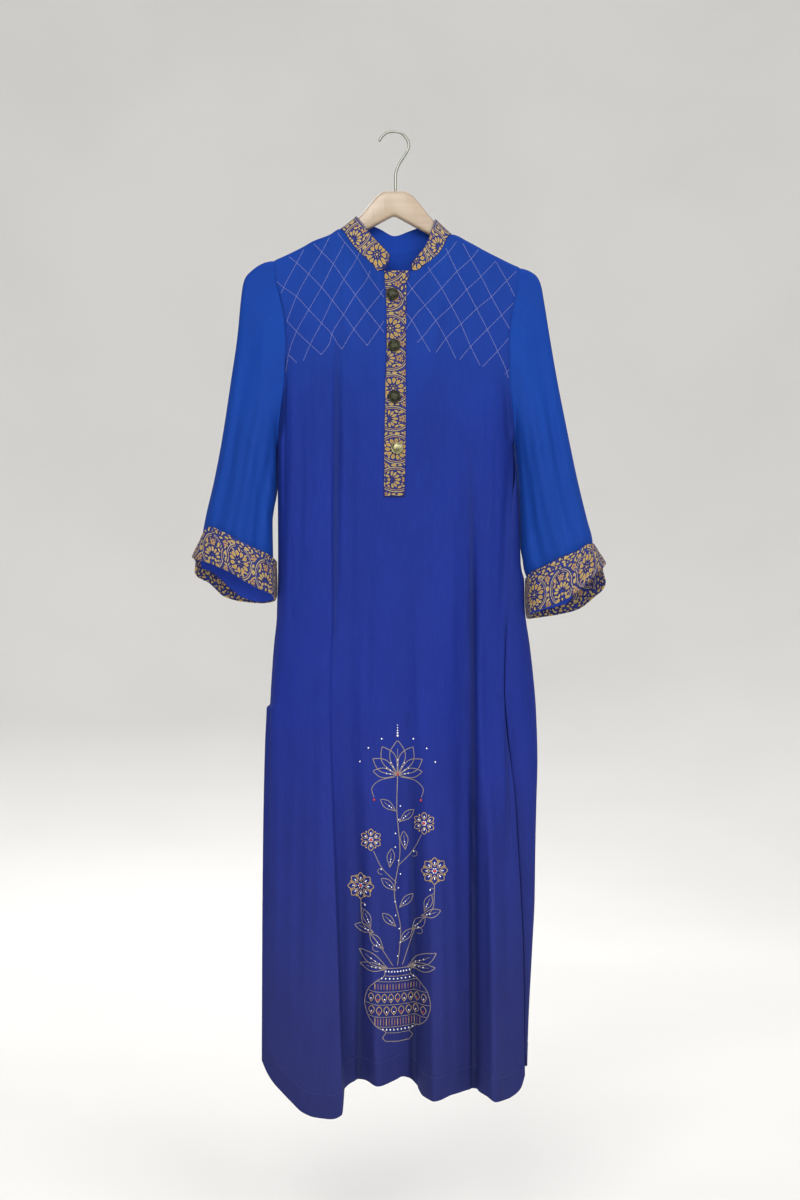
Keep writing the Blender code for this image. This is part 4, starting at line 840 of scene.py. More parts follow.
def block_print():
    m = Motifs()
    # rosette between two leaning oval lines
    m.rosette(19.0, 26.0, 13.4)
    a = np.linspace(-math.pi / 2 + 0.35, math.pi / 2 - 0.35, 14)
    for way in (1.0, -1.0):
        m.twin(19.0 + way * 17.2 * np.cos(a), 26.0 + 20.0 * np.sin(a) * way)
    # palmette in its own oval, with a flower above it
    m.fan(58.0, 17.5, 90.0, 12.4)
    a = np.linspace(-math.pi / 2 + 0.25, math.pi / 2 - 0.1, 14)
    for way in (1, -1):
        m.twin((58.0 + way * (14.6 * np.cos(a)))[::way], (24.0 + 20.5 * np.sin(a))[::way])
    m.sprig(58.0, 45.6, 90.0, 7.0, 0.62)
    for x, y, r, turn in ((58.0, 35.6, 4.6, 18.0), (39.2, 40.5, 4.4, 10.0),
                          (39.4, 10.5, 4.2, 40.0), (77.0, 41.0, 4.4, 25.0),
                          (77.2, 9.0, 4.0, 55.0)):
        m.flower(x, y, r, turn)
    # fillings between the two
    for x, y, turn, long, wide, fat, tone in (
            (50.2, 31.0, 100.0, 7.4, 3.4, 1.1, 0.55), (65.8, 31.0, 80.0, 7.4, 3.4, 1.1, 0.55),
            (39.6, 18.0, 90.0, 8.0, 3.4, 1.2, 0.55), (39.6, 27.0, 90.0, 6.4, 2.6, 1.2, 0.62),
            (76.8, 33.0, -90.0, 8.0, 3.4, 1.2, 0.55), (76.8, 24.0, -90.0, 6.4, 2.6, 1.2, 0.62),
            (33.2, 47.0, 176.0, 8.2, 3.8, 1.2, 0.6), (5.0, 47.0, 4.0, 8.2, 3.8, 1.2, 0.6),
            (33.2, 5.2, 184.0, 8.2, 3.8, 1.2, 0.6), (5.0, 5.2, -4.0, 8.2, 3.8, 1.2, 0.6),
            (47.6, 6.6, 24.0, 7.6, 3.8, 1.2, 0.55), (68.4, 6.6, 156.0, 7.6, 3.8, 1.2, 0.55),
            (19.0, 2.6, 0.0, 5.6, 3.2, 1.0, 0.4), (19.0, 49.4, 180.0, 5.6, 3.2, 1.0, 0.4)):
        m.petal(x, y, turn, long, wide, fat, tone)
    for room, long, fat in ((2.8, 6.4, 3.0), (2.25, 5.0, 2.3), (2.0, 3.4, 1.8)):
        m.fill_bare(room, long, fat)
    return m


PRINT = block_print()


def print_values(u, v, border, stripes=None):
    """Print over cloth places in mm, with a dark line along the border of the piece."""
    dist, tone = PRINT.field(u, v)
    dist = np.where(border < 0.9, np.maximum(dist, 0.4), dist)
    if stripes is not None:
        lines, share = stripes
        dist = np.where(share, lines, dist)
        tone = np.where(share, 0.95, tone)
    return {"print_edge": dist, "print_tone": tone}


# Materials


class Nodes:
    """Short way to wire a node material."""

    def __init__(self, name):
        self.mat = bpy.data.materials.new(name)
        self.mat.use_nodes = True
        self.tree = self.mat.node_tree
        self.shader = self.tree.nodes["Principled BSDF"]

    def node(self, kind, *links, **settings):
        made = self.tree.nodes.new(kind)
        for key, value in settings.items():
            setattr(made, key, value)
        for socket, value in links:
            self.set(made.inputs[socket], value)
        return made

    def set(self, socket, value):
        if isinstance(value, bpy.types.NodeSocket):
            self.tree.links.new(value, socket)
        else:
            socket.default_value = value

    def math(self, kind, a, b, c=0.0):
        return self.node("ShaderNodeMath", (0, a), (1, b), (2, c), operation=kind).outputs[0]

    def add(self, a, b):
        return self.math("ADD", a, b)

    def times(self, a, b):
        return self.math("MULTIPLY", a, b)

    def ramp(self, value, low, high, to_low=0.0, to_high=1.0):
        return self.node("ShaderNodeMapRange", (0, value), (1, low), (2, high), (3, to_low),
                         (4, to_high), interpolation_type="SMOOTHSTEP").outputs[0]

    def mix(self, factor, a, b):
        made = self.node("ShaderNodeMix", data_type="RGBA")
        self.set(made.inputs["Factor"], factor)
        colours = [s for s in made.inputs if s.type == "RGBA"]
        for socket, value in zip(colours, (a, b)):
            self.set(socket, value if isinstance(value, bpy.types.NodeSocket) else (*value, 1.0))
        return [s for s in made.outputs if s.type == "RGBA"][0]

    def vector(self, kind, a, b):
        return self.node("ShaderNodeVectorMath", (0, a), (1, b), operation=kind).outputs[0]

    def noise(self, vector, factors, detail=2.0, rough=0.5):
        """Noise over a place that is scaled by one factor along each axis."""
        if factors is not None:
            vector = self.vector("MULTIPLY", vector, factors)
        return self.node("ShaderNodeTexNoise", ("Vector", vector), ("Scale", 1.0),
                         ("Detail", detail), ("Roughness", rough)).outputs[0]

    def place(self):
        return self.node("ShaderNodeTexCoord").outputs["Object"]

    def split(self, vector):
        return self.node("ShaderNodeSeparateXYZ", (0, vector)).outputs

    def attribute(self, name, output="Fac"):
        return self.node("ShaderNodeAttribute", attribute_name=name).outputs[output]

    def finish(self, colour, height=None, strength=None, distance=None, **plain):
        self.set(self.shader.inputs["Base Color"], colour)
        for key, value in plain.items():
            self.set(self.shader.inputs[key.replace("_", " ")], value)
        if height is not None:
            bump = self.node("ShaderNodeBump", ("Strength", strength), ("Distance", distance),
                             ("Height", height))
            self.tree.links.new(bump.outputs[0], self.shader.inputs["Normal"])
        return self.mat


def weave(n, where, pitch):
    """Height of a plain weave from cloth positions in mm."""
    warp, weft = (n.math("SINE", n.times(axis, math.tau / pitch), 0.0)
                  for axis in n.split(where)[:2])
    return n.math("MULTIPLY_ADD", n.times(warp, weft), 0.5, 0.5)


def dimmed(colour, factor):
    return tuple(c * factor for c in colour)


# Blue by height, partly the dye and partly painted shade: the yoke and sleeves are clear blue, the
# skirt deepens to navy where less light falls lower down
BLUE_SHADED_BY_HEIGHT = [(-0.12, (0.0050, 0.0380, 0.240)), (-0.27, (0.0070, 0.0320, 0.226)),
              (-0.40, (0.0090, 0.0240, 0.202)), (-0.75, (0.0115, 0.0238, 0.211)),
              (-0.95, (0.0165, 0.0255, 0.178)), (-1.12, (0.0215, 0.0260, 0.142)),
              (-1.25, (0.0225, 0.0262, 0.118))]
# The sleeves are the same cloth in lighter tones: painted light that stays clear down to the cuffs
SLEEVE_LIT_TONES = [(-0.15, (0.0040, 0.0400, 0.256)), (-0.60, (0.0060, 0.0440, 0.270))]
# The inside of the back, seen through the neck, is painted a little clearer at the top to lift the
# shade that falls in it
INSIDE_LIT_TONES = [(-0.12, (0.0055, 0.0425, 0.300)), (-0.20, (0.0065, 0.0400, 0.315)),
                *BLUE_SHADED_BY_HEIGHT[2:]]
# The plain cloth inside the cuffs is the same blue painted much lighter, to lift the shade inside
# the cuffs
REVERSE_LIT_TONES = [(-0.50, (0.0240, 0.0620, 0.470)), (-0.65, (0.0240, 0.0620, 0.470))]
NAVY_PATCH, BLUE_SLUB = (0.006, 0.010, 0.080), (0.05, 0.12, 0.55)
FOLD_SHADE, HEM_SHADE = (0.014, 0.020, 0.050), (0.008, 0.010, 0.060)
GOLD = (0.495, 0.350, 0.104)
GOLD_PALE = (0.50, 0.415, 0.195)
RUST = (0.370, 0.160, 0.048)
OUTLINE = (0.016, 0.009, 0.040)


def blue_cloth(name, tones):
    n = Nodes(name)
    where = n.attribute("cloth_mm", "Vector")
    slub_down = n.noise(where, (0.9, 0.035, 0.0), 3.0)
    slub_across = n.noise(where, (0.05, 1.1, 0.0))
    slow = n.noise(where, (0.016, 0.007, 0.0))
    fibre = n.add(n.times(slub_down, 0.6), n.times(slub_across, 0.4))
    height = n.add(n.split(n.place())[2], n.times(n.math("SUBTRACT", slow, 0.5), 0.10))
    top, foot = tones[0][0], tones[-1][0]
    # colour ramp by height: partly the dye, partly painted shade that deepens lower down
    share = n.node("ShaderNodeMapRange", (0, height), (1, top), (2, foot)).outputs[0]
    dye_and_shade = n.node("ShaderNodeValToRGB", (0, share))
    ramp = dye_and_shade.color_ramp
    while len(ramp.elements) < len(tones):
        ramp.elements.new(0.5)
    for stop, (z, colour) in zip(ramp.elements, tones):
        stop.position = (z - top) / (foot - top)
        stop.color = (*colour, 1.0)
    base = dye_and_shade.outputs[0]
    for share, colour in ((n.ramp(slow, 0.3, 0.7, 0.16, 0.0), NAVY_PATCH),
                          (n.ramp(slub_down, 0.42, 0.68, 0.0, 0.055), BLUE_SLUB),
                          (n.times(n.attribute("valley"), 0.55), FOLD_SHADE),
                          (n.times(n.split(where)[2], 0.10), HEM_SHADE)):
        base = n.mix(share, base, colour)
    bump = n.add(n.times(weave(n, where, 1.1), 0.6), n.times(fibre, 1.2))
    return n.finish(base, bump, 0.30, 0.00012,
                    Roughness=n.ramp(fibre, 0.3, 0.7, 0.66, 0.78),
                    Specular_IOR_Level=0.08, Sheen_Weight=0.03, Sheen_Roughness=0.5,
                    Sheen_Tint=(0.16, 0.34, 1.0, 1.0))


def printed_cloth(name, ground, strength):
    n = Nodes(name)
    full, pale, rust = (dimmed(ink, strength) for ink in (GOLD, GOLD_PALE, RUST))
    where = n.attribute("cloth_mm", "Vector")
    tone = n.attribute("print_tone")
    bleed = n.noise(where, (0.9, 0.9, 0.0), 3.0)
    edge = n.add(n.attribute("print_edge"), n.times(n.math("SUBTRACT", bleed, 0.5), 0.55))
    ink = n.ramp(edge, -0.26, 0.00, 1.0, 0.0)
    rim = n.times(n.ramp(edge, -0.06, 0.16), n.ramp(edge, 0.75, 1.25, 1.0, 0.0))
    patch = n.noise(where, (0.16, 0.16, 0.0), 3.0)
    gold = n.mix(n.ramp(tone, 0.2, 0.48), rust, full)
    for share, colour in ((n.ramp(tone, 0.66, 0.9), pale),
                          (n.ramp(edge, -0.55, -0.25, 0.0, 0.55), pale),
                          (n.ramp(edge, -1.6, -0.9, 0.55, 0.0), rust),
                          (n.ramp(patch, 0.40, 0.72, 0.0, 0.25), rust)):
        gold = n.mix(share, gold, colour)
    cloth = n.mix(n.ramp(patch, 0.3, 0.7, 0.0, 0.35), ground, dimmed(ground, 1.35))
    cloth = n.mix(n.times(rim, 0.82), cloth, OUTLINE)
    height = n.add(n.times(weave(n, where, 0.9), 0.7), n.times(ink, 0.35))
    return n.finish(n.mix(ink, cloth, gold), height, 0.35, 0.00012,
                    Roughness=n.ramp(bleed, 0.3, 0.7, 0.62, 0.76),
                    Specular_IOR_Level=0.18, Sheen_Weight=0.05, Sheen_Roughness=0.5)


def thread(name, colour, rough=0.5):
    n = Nodes(name)
    twist = n.noise(n.place(), (900.0, 900.0, 900.0))
    base = n.mix(n.ramp(twist, 0.35, 0.65), dimmed(colour, 0.75), colour)
    return n.finish(base, twist, 0.3, 0.0001, Roughness=rough, Sheen_Weight=0.2)


def metal(name, light, dark, rough):
    n = Nodes(name)
    worn = n.noise(n.place(), (260.0, 260.0, 260.0), 4.0)
    return n.finish(n.mix(n.ramp(worn, 0.38, 0.66), dark, light), worn, 0.12, 0.0001,
                    Roughness=n.ramp(worn, 0.3, 0.7, rough, rough + 0.14), Metallic=1.0)


def wood(name):
    n = Nodes(name)
    spot = n.place()
    flow = n.vector("MULTIPLY", n.noise(spot, (7.0, 30.0, 30.0)), (2.2, 2.2, 2.2))
    bent = n.vector("ADD", n.vector("MULTIPLY", spot, (9.0, 90.0, 260.0)), flow)
    grain = n.noise(bent, None, 4.0, 0.6)
    pores = n.noise(spot, (60.0, 900.0, 900.0))
    base = n.mix(n.ramp(grain, 0.34, 0.68), (0.325, 0.240, 0.160), (0.364, 0.273, 0.186))
    base = n.mix(n.ramp(pores, 0.60, 0.74, 0.0, 0.16), base, (0.27, 0.19, 0.12))
    return n.finish(base, n.add(grain, n.times(pores, 0.5)), 0.05, 0.0002,
                    Roughness=0.36, Coat_Weight=0.35, Coat_Roughness=0.24)


cloth = blue_cloth("kurti_cloth", BLUE_SHADED_BY_HEIGHT)
# lighter copies of the blue, painted light: the sleeves, the inside seen through the neck and the
# cuff lining
cloth_sleeve_lit = blue_cloth("kurti_cloth_sleeve", SLEEVE_LIT_TONES)
cloth_inside_lit = blue_cloth("kurti_cloth_inside", INSIDE_LIT_TONES)
cloth_reverse_lit = blue_cloth("kurti_cloth_reverse", REVERSE_LIT_TONES)
print_blue = printed_cloth("floral_print", (0.012, 0.030, 0.200), 0.80)
print_placket = printed_cloth("floral_print_placket", (0.014, 0.022, 0.165), 0.70)
# the upper three buttons are a darkened copy of the golden metal, painted dark for the dark
# surroundings they reflect
bronze_painted_dark = metal("button_bronze", (0.046, 0.048, 0.032), (0.022, 0.022, 0.014), 0.40)
golden = metal("button_gold", (0.29, 0.265, 0.150), (0.14, 0.135, 0.075), 0.30)
steel = metal("hook_steel", (0.315, 0.325, 0.285), (0.235, 0.245, 0.215), 0.30)


# Creases listed one by one: (x, z) at both ends, bow, half width, height, all in mm

FRONT_CREASES = [
    (-76, -280, -70, -640, 3, 9, -1.6), (-100, -250, -96, -520, -2, 10, 1.4),
    (-120, -330, -124, -620, 2, 8, -1.5), (-135, -420, -140, -700, 0, 7, 1.2),
    (-45, -330, -52, -700, 2, 9, 1.2), (-30, -480, -34, -860, -2, 10, -1.5),
    (60, -300, 58, -560, -2, 9, 1.3), (85, -260, 92, -620, 2, 10, -1.5),
    (112, -300, 118, -580, -2, 9, 1.4), (130, -380, 128, -560, 1, 7, -1.2),
    (-150, -760, -154, -1140, 2, 9, 1.5), (-118, -820, -122, -1200, -3, 11, -1.8),
    (-95, -700, -101, -1180, 3, 12, 1.6), (-20, -880, -24, -1200, 1, 9, 1.4),
    (10, -820, 12, -1190, -1, 8, -1.2), (55, -860, 60, -1200, 2, 9, 1.5),
    (85, -760, 88, -1120, -2, 9, -1.4), (120, -820, 124, -1180, 2, 9, 1.5),
    (140, -700, 146, -1090, -1, 7, -1.2),
    # the folds that show as dark or light lines
    (98, -400, 103, -1560, 1, 6.0, -5.6), (107, -400, 113, -1450, 1, 8, 3.4),
    (-74, -270, -77, -700, 0, 7, -2.9), (-65, -280, -67, -620, 0, 5.5, 1.6),
    (-43, -930, -48, -1640, 0, 6.5, -5.0), (23, -850, 26, -1620, 0, 6.5, -4.4),
    (36, -880, 38, -1600, 0, 8, 2.0), (-142, -290, -143, -500, 0, 4.5, -2.2),
    (-131, -300, -133, -540, 0, 7, 1.4), (143, -620, 147, -960, 0, 4.5, -2.8),
    (151, -640, 155, -980, 0, 4, 1.4), (-160, -560, -166, -1150, 0, 4, -1.4),
    (72, -450, 74, -760, 1, 8, 1.4), (45, -300, 42, -660, -1, 8, -1.4),
    # drags from the armpits and across the chest
    (-146, -372, -104, -318, 4, 7, 0.8), (148, -366, 110, -316, -4, 7, 0.8),
    (-56, -205, -30, -262, 2, 6, 0.7), (58, -205, 36, -268, -2, 6, 0.7),
    (24, -540, 30, -800, 1, 7, 0.9), (-62, -900, -60, -1180, 2, 8, -1.3),
]
BACK_CREASES = [
    (-90, -240, -84, -560, 3, 10, 1.8), (-40, -260, -44, -640, -2, 10, -2.0),
    (10, -230, 8, -520, 2, 9, 1.7), (62, -260, 70, -600, -3, 10, 1.9),
    (112, -320, 118, -640, 2, 9, -2.1), (-124, -360, -128, -660, -2, 8, 1.6),
    (-146, -372, -96, -336, 4, 6, 0.9), (148, -370, 100, -334, -4, 6, 0.9),
    (-66, -430, -64, -900, 1, 7, -1.8), (44, -400, 50, -980, -1, 8, -2.2),
    (-130, -700, -138, -1560, 2, 10, -4.2), (-104, -640, -112, -1500, -2, 12, 3.4),
    (-34, -560, -42, -1600, 2, 9, -4.8), (-10, -640, -16, -1500, 1, 12, 2.6),
    (22, -520, 30, -1560, -2, 11, 3.0), (80, -600, 92, -1580, 2, 9, -5.0),
    (104, -760, 116, -1500, 1, 12, 3.2), (134, -640, 148, -1520, -2, 8, -3.2),
]
SLEEVE_CREASES = {
    "left": [(-200, -330, -232, -520, 3, 7, -1.2), (-186, -300, -208, -500, -3, 8, 1.2),
             (-176, -380, -178, -560, 2, 7, -1.1), (-158, -430, -192, -392, 3, 6, 0.9),
             (-168, -220, -174, -330, 2, 6, 0.8), (-214, -420, -240, -505, -2, 6, 1.0),
             (-160, -470, -196, -452, -3, 6, 0.8)],
    "right": [(198, -320, 228, -520, -3, 7, -1.2), (184, -300, 206, -510, 3, 8, 1.2),
              (172, -380, 184, -560, -2, 7, -1.1), (162, -430, 194, -396, -3, 6, 0.9),
              (166, -225, 176, -330, -2, 6, 0.8), (216, -430, 246, -520, 2, 6, 1.0),
              (166, -480, 202, -462, 3, 6, 0.8)],
}
# Relief along borders: height, distance from the border and half width of each line
SEAM = [(-0.9, 0.0, 1.7), (0.28, 5.5, 3.0)]
SHOULDER_SEAM = [(-0.9, 0.0, 1.7)]
HEM_GROOVE = [(-0.42, 0.0, 1.1)]
OPEN_EDGE = [(-0.45, 0.0, 1.0)]
ARMHOLE_SEAM = [(-0.5, 0.0, 1.8), (0.15, 5.0, 3.0)]
CUFF_EDGE = [(0.25, 3.4, 2.2), (-0.22, 6.4, 0.9)]
COLLAR_EDGE = [(0.22, 2.6, 1.8)]
COLLAR_SEAM = [(-0.35, 0.0, 1.2)]
PLACKET_GROOVE = [(-0.22, 2.4, 0.7)]
HEM_THICK, HEM_PUCKER, PUCKER_REACH = 0.30, 0.16, 5.0
PLACKET_PUCKER, PLACKET_PUCKER_REACH = 0.12, 3.5
TIGHT = -2.8            # creases this deep are shaded too
VALLEY_REACH, VALLEY_DEEP = 17.0, 7.0
FAR = 99.0              # distance given where there is no open edge


def valleys(grid, way):
    """How far each point lies below the cloth round it, 0 to 1, for shade in the folds."""
    run = along(grid, 0)
    out = np.zeros(grid.shape[:2])
    for j in range(grid.shape[1]):
        u, h = run[:, j], grid[:, j, 1] * np.sign(way[grid.shape[0] // 2, j, 1])
        near = bell(u[:, None] - u[None, :], VALLEY_REACH) * np.gradient(u)[None, :]
        out[:, j] = np.clip((near @ h / near.sum(axis=1) - h) / VALLEY_DEEP, 0.0, 1.0)
    return out


def body_panel(name, base, front_way, rows, mats):
    """Body panel with its seams, hems and creases; also its outer face, normals and hem."""
    way = grid_normals(base, (12, 20), (0, front_way, 0))
    from_left = along(base, 0)
    from_right = from_left[-1:] - from_left
    from_top = along(base, 1)
    from_hem = from_top[:, -1:] - from_top
    sewn = np.arange(base.shape[1])[None, :] <= SLIT_ROW
    x, z = base[..., 0], base[..., 2]
    height = creases(x, z, rows)
    # sewn seams draw the cloth in, less so where the cuffs hang beside them
    by_cuff = 1.0 - ((0.5 + 0.25 * smoothstep(-480.0, -510.0, z))
                     * smoothstep(-640.0, -616.0, z))
    for reach in (from_left, from_right):
        height += np.where(sewn, by_cuff * ridges(reach, SEAM), 0.0)
    shoulder = (x[:, :1] < NECK_X[0]) | (x[:, :1] > NECK_X[1])
    height += np.where(shoulder, ridges(from_top, SHOULDER_SEAM), 0.0)
    # hems turned in and sewn: a flat doubled border, a groove at the stitches and small puckers
    open_edge = np.where(sewn, FAR, np.minimum(from_left, from_right))
    to_side, to_hem = open_edge / SLIT_TURN, from_hem / HEM_TURN
    by_side = to_side < to_hem
    off = (np.minimum(to_side, to_hem) - 1.0) * np.where(by_side, SLIT_TURN, HEM_TURN)
    doubled = smoothstep(0.8, -0.8, off)
    run = np.where(by_side, from_top, from_left)
    pucker = uneven(run, 3.1, 2.0, 17.0) * bell(off, PUCKER_REACH)
    height += HEM_THICK * doubled + ridges(off, HEM_GROOVE) + HEM_PUCKER * pucker
    height += ridges(np.minimum(open_edge, from_hem), OPEN_EDGE)
    face = base + way * height[..., None]
    # shade lies in valleys and in the tightest creases
    tight = [(*row[:5], 0.62 * row[5], -row[6] / 5.0) for row in rows if row[6] <= TIGHT]
    shade = (0.45 * valleys(face, way)
             + np.clip(creases(face[..., 0], face[..., 2], tight), 0.0, 1.0))
    across = along(face, 0)
    values = {"cloth_mm": cloth_at(across - across[len(face) // 2], along(face, 1), doubled),
              "valley": np.clip(shade, 0.0, 1.0)}
    outside = np.zeros((face.shape[0] - 1, face.shape[1] - 1), int)
    panel = shell(name, face, way, CLOTH, mats, values,
                  face_mats=(outside, outside + len(mats) - 1))
    return panel, face, way, doubled


FRONT_KEYS = [solve_share(x, front_top)
              for x in (NECK_X[0], NECK_X[0] + 2.4, NECK_X[0] + 6.5, NECK_FRONT_LEFT[-1][0],
                        NECK_FRONT_RIGHT[0][0], NECK_X[1] - 6.5, NECK_X[1] - 2.4, NECK_X[1])]
BACK_KEYS = [share_at(x, back_top)
             for x in (NECK_X[0], -68.4, -64.3, 60.0, 68.0, 72.1, NECK_X[1])] + [BACK_TURN]
front_sheet = sheet_grid(
    merged(spaced((0.0, 0.05, 0.30, 0.335, 0.95, 1.0), (16, 48, 20, 112, 14)), FRONT_KEYS, 0.0022),
    front_top, front_across, front_hem, front_surface)
back_sheet = sheet_grid(
    merged(spaced((0.0, 0.06, BACK_TURN, 1.0), (14, 100, 34)), BACK_KEYS, 0.0024),
    back_top, lambda s, z: s, back_hem, back_surface)
front, *front_cloth = body_panel("kurti_front", front_sheet, -1, FRONT_CREASES, [cloth])
back, *back_cloth = body_panel("kurti_back", back_sheet, 1, BACK_CREASES, [cloth, cloth_inside_lit])

# Sleeves: t runs down and c across from the outer line

SLEEVE_T = spaced((0.0, 0.06, 1.0), (16, 122))
SLEEVE_TILT = (-11.0, 7.0)      # how far the back and the front swing in height at the cuff
BEHIND_BODY = 7.0               # depth by which the inner edge lies behind the body's
CAP_EASE, CAP_PLACE, CAP_REACH, CAP_FOOT = 0.35, 9.0, 7.0, -300.0
BACK_SHIFT = (9.0, 14.0)        # the back's creases are the front's, moved by this


def sleeve_form(side, t, c, is_front):
    """Sleeve surface before it is eased into the armhole."""
    o = path(SLEEVE_OUTER[side])(t)
    i = path(SLEEVE_INNER[side])(t)
    t, c = t[None, :], c[:, None]
    face = np.where(is_front[:, None], 1.0, 0.0)
    round_out = arch(c, SLEEVE_ROUND)
    y = lerp(curve(SLEEVE_DEPTH["back"])(t), curve(SLEEVE_DEPTH["front"])(t), face) * round_out
    for share, half, height, begin in SLEEVE_FOLDS:
        y = y + (height * hump((c - share) / half)
                 * smoothstep(begin - 0.15, begin + 0.2, t) * smoothstep(1.05, 0.85, t))
    tilt = smoothstep(0.55, 1.0, t) * round_out
    x = lerp(o[None, :, 0], i[None, :, 0], c)
    z = lerp(o[None, :, 1], i[None, :, 1], c) + lerp(*SLEEVE_TILT, face) * tilt
    end = SLEEVE_BEHIND[side]
    behind = (smoothstep(0.0, 0.07, t) * smoothstep(0.72, 1.0, c)
              * smoothstep(end + 0.06, end - 0.04, t))
    y = y * (1.0 - 2.0 * face) + BEHIND_BODY * behind
    return np.stack([x, y, z], axis=-1)


def sleeve(side):
    end = 0 if side == "left" else -1
    count = len(ARM)
    armhole = np.vstack([front_sheet[end, :count], back_sheet[end, count - 2:0:-1]])
    c = np.concatenate([ARM, ARM[-2:0:-1]])
    is_front = np.arange(len(c)) < count
    form = sleeve_form(side, SLEEVE_T, c, is_front)
    base = form + (armhole[:, None] - form[:, :1]) * ((1.0 - SLEEVE_T) ** 2)[None, :, None]
    way = grid_normals(base, (count // 2, 60), (0, -1, 0), around=True)
    around, down = along(base, 0), along(base, 1)
    x, z = base[..., 0], base[..., 2]
    rows = SLEEVE_CREASES[side]
    height = np.where(is_front[:, None], creases(x, z, rows),
                      creases(x + BACK_SHIFT[0], z + BACK_SHIFT[1], rows) * 0.9)
    height += ridges(down, ARMHOLE_SEAM)
    # a little ease over the cap
    cap = bell(down - CAP_PLACE, CAP_REACH) * (armhole[:, None, 2] > CAP_FOOT)
    height += CAP_EASE * cap * np.sin(around / 4.2)
    return shell("kurti_sleeve_" + side, base + way * height[..., None], way, CLOTH,
                 [cloth_sleeve_lit], {"cloth_mm": cloth_at(around, down)}, around=True)


sleeves = {side: sleeve(side) for side in SIDES}

# Cuffs: a band that turns round its lower edge and stands over the sleeve

CUFF_COLUMNS = 280
LEG_ROWS, BEND_ROWS = 27, 10
BEND, BEND_HIGH = 1.45, 2.6     # half width and height of the turn at the lower edge
# Share across from the outer side and height of the print turned in, in mm
CUFF_TURN = {"left": [(0.0, 12.0), (0.20, 16.0), (0.33, 17.5), (0.47, 13.0), (0.60, 6.8),
                      (0.75, 3.0), (1.0, 2.4)],
             "right": [(0.0, 24.0), (0.34, 24.0), (0.44, 17.0), (0.52, 12.5), (0.62, 11.5),
                       (0.80, 10.0), (1.0, 7.0)]}
CUFF_IN = {"left": 0.8, "right": -1.3}          # inner end eased towards the body
PRINT_SHIFT = {"left": 11.0, "right": 47.0}
PRINT_TURNED_BACK = 14.0        # height of the print turned in behind
SEAM_GAP = 0.65                 # from the sleeve's face to the cuff's middle at their seam


def by_share(rows, c):
    at, *columns = zip(*rows)
    return [hermite(at, column, c) for column in columns]


def band(name, mid, way, half, mats, values, **more):
    """Closed band of its half thickness on both sides of a middle surface."""
    half = half[..., None]
    return shell(name, mid + way * half, way, 2.0 * half, mats, values, **more)


def cuff(side):
    theta = np.linspace(0.0, math.tau, CUFF_COLUMNS, endpoint=False)
    c = (1.0 - np.cos(theta)) / 2.0
    is_front = theta <= math.pi
    sign = np.where(is_front, -1.0, 1.0)
    quarter = CUFF_COLUMNS // 4
    ends = sleeve_form(side, np.array([0.965, 1.0]), c, is_front)
    inward = -grid_normals(ends, (quarter, 0), (0, -1, 0), around=True)[:, 1]
    round_out = arch(c, CUFF_ROUND)
    ffx, ffz = by_share(CUFF_FOLD_FRONT[side], c)
    fbx, fbz = by_share(CUFF_FOLD_BACK[side], c)
    fx, fz = np.where(is_front, ffx, fbx), np.where(is_front, ffz, fbz)
    tx, tz = by_share(CUFF_TOP[side], c)
    tx = np.where(is_front, tx, lerp(tx, fx, 0.25 * np.sin(math.pi * c)))
    tz = np.where(is_front, tz, fz + (tz - ffz) * 0.96)
    ease = CUFF_IN[side] * smoothstep(0.80, 0.98, c)
    bottom = np.stack([fx + ease, sign * CUFF_DEPTH * round_out, fz], axis=-1)
    edge = np.stack([tx + ease, sign * (CUFF_DEPTH - 1.0) * round_out, tz], axis=-1)
    up = edge - bottom
    up /= np.linalg.norm(up, axis=1, keepdims=True)
    out = -inward + up * np.sum(inward * up, axis=1, keepdims=True)
    out /= np.linalg.norm(out, axis=1, keepdims=True)
    # inner leg from the sleeve seam, the turn, then the outer leg
    outer_foot = bottom + up * BEND_HIGH
    a = np.linspace(0.0, 1.0, LEG_ROWS + 1)[:-1, None, None]
    leg_in = lerp(ends[:, 1] + inward * SEAM_GAP, outer_foot - out * 2.0 * BEND, a)
    a = np.linspace(0.0, math.pi, BEND_ROWS + 1)[:-1, None, None]
    bend = outer_foot - out * BEND * (1.0 + np.cos(a)) - up * BEND_HIGH * np.sin(a)
    a = np.concatenate([np.linspace(0.0, 0.96, 56), [0.975, 0.988, 0.995, 1.0]])[:, None, None]
    leg_out = lerp(outer_foot, edge, a) + out * 0.6 * np.sin(math.pi * a) ** 0.6
    centre = np.concatenate([leg_in, bend, leg_out]).transpose(1, 0, 2)
    way = grid_normals(centre, (quarter, 60), (0, -1, 0), around=True)
    v = along(centre, 1)
    v = v - v[:, [LEG_ROWS + BEND_ROWS // 2]]
    u = np.broadcast_to(along(centre, 0)[:, 60:61], v.shape)
    # soft unevenness of the standing band and a groove below its edge
    height = (smoothstep(3.0, 12.0, v) * np.sqrt(np.abs(np.sin(theta)))[:, None]
              * (0.5 * np.sin(u / 13.0 + 0.8) + 0.35 * np.sin(u / 6.1 + v / 21.0)))
    lip = v[:, -1:] - v
    height += ridges(lip, CUFF_EDGE)
    # the printed strip inside is high at the outer side and thin at the inner one
    turn = np.where(is_front, PRINT_TURNED_BACK, by_share(CUFF_TURN[side], c)[0])[:, None]
    values = {"cloth_mm": cloth_at(u, v),
              **print_values(u + PRINT_SHIFT[side], v + 6.0, np.minimum(lip, v + turn))}
    plain = (v[:, :-1] < -turn).astype(int)
    return band("kurti_cuff_" + side, centre + way * height[..., None], way,
                CUFF_WALL / 2 * rounded(lip / 0.55, 0.12), [print_blue, cloth_reverse_lit], values,
                around=True, face_mats=(plain, plain))


cuffs = {side: cuff(side) for side in SIDES}

# Collar band

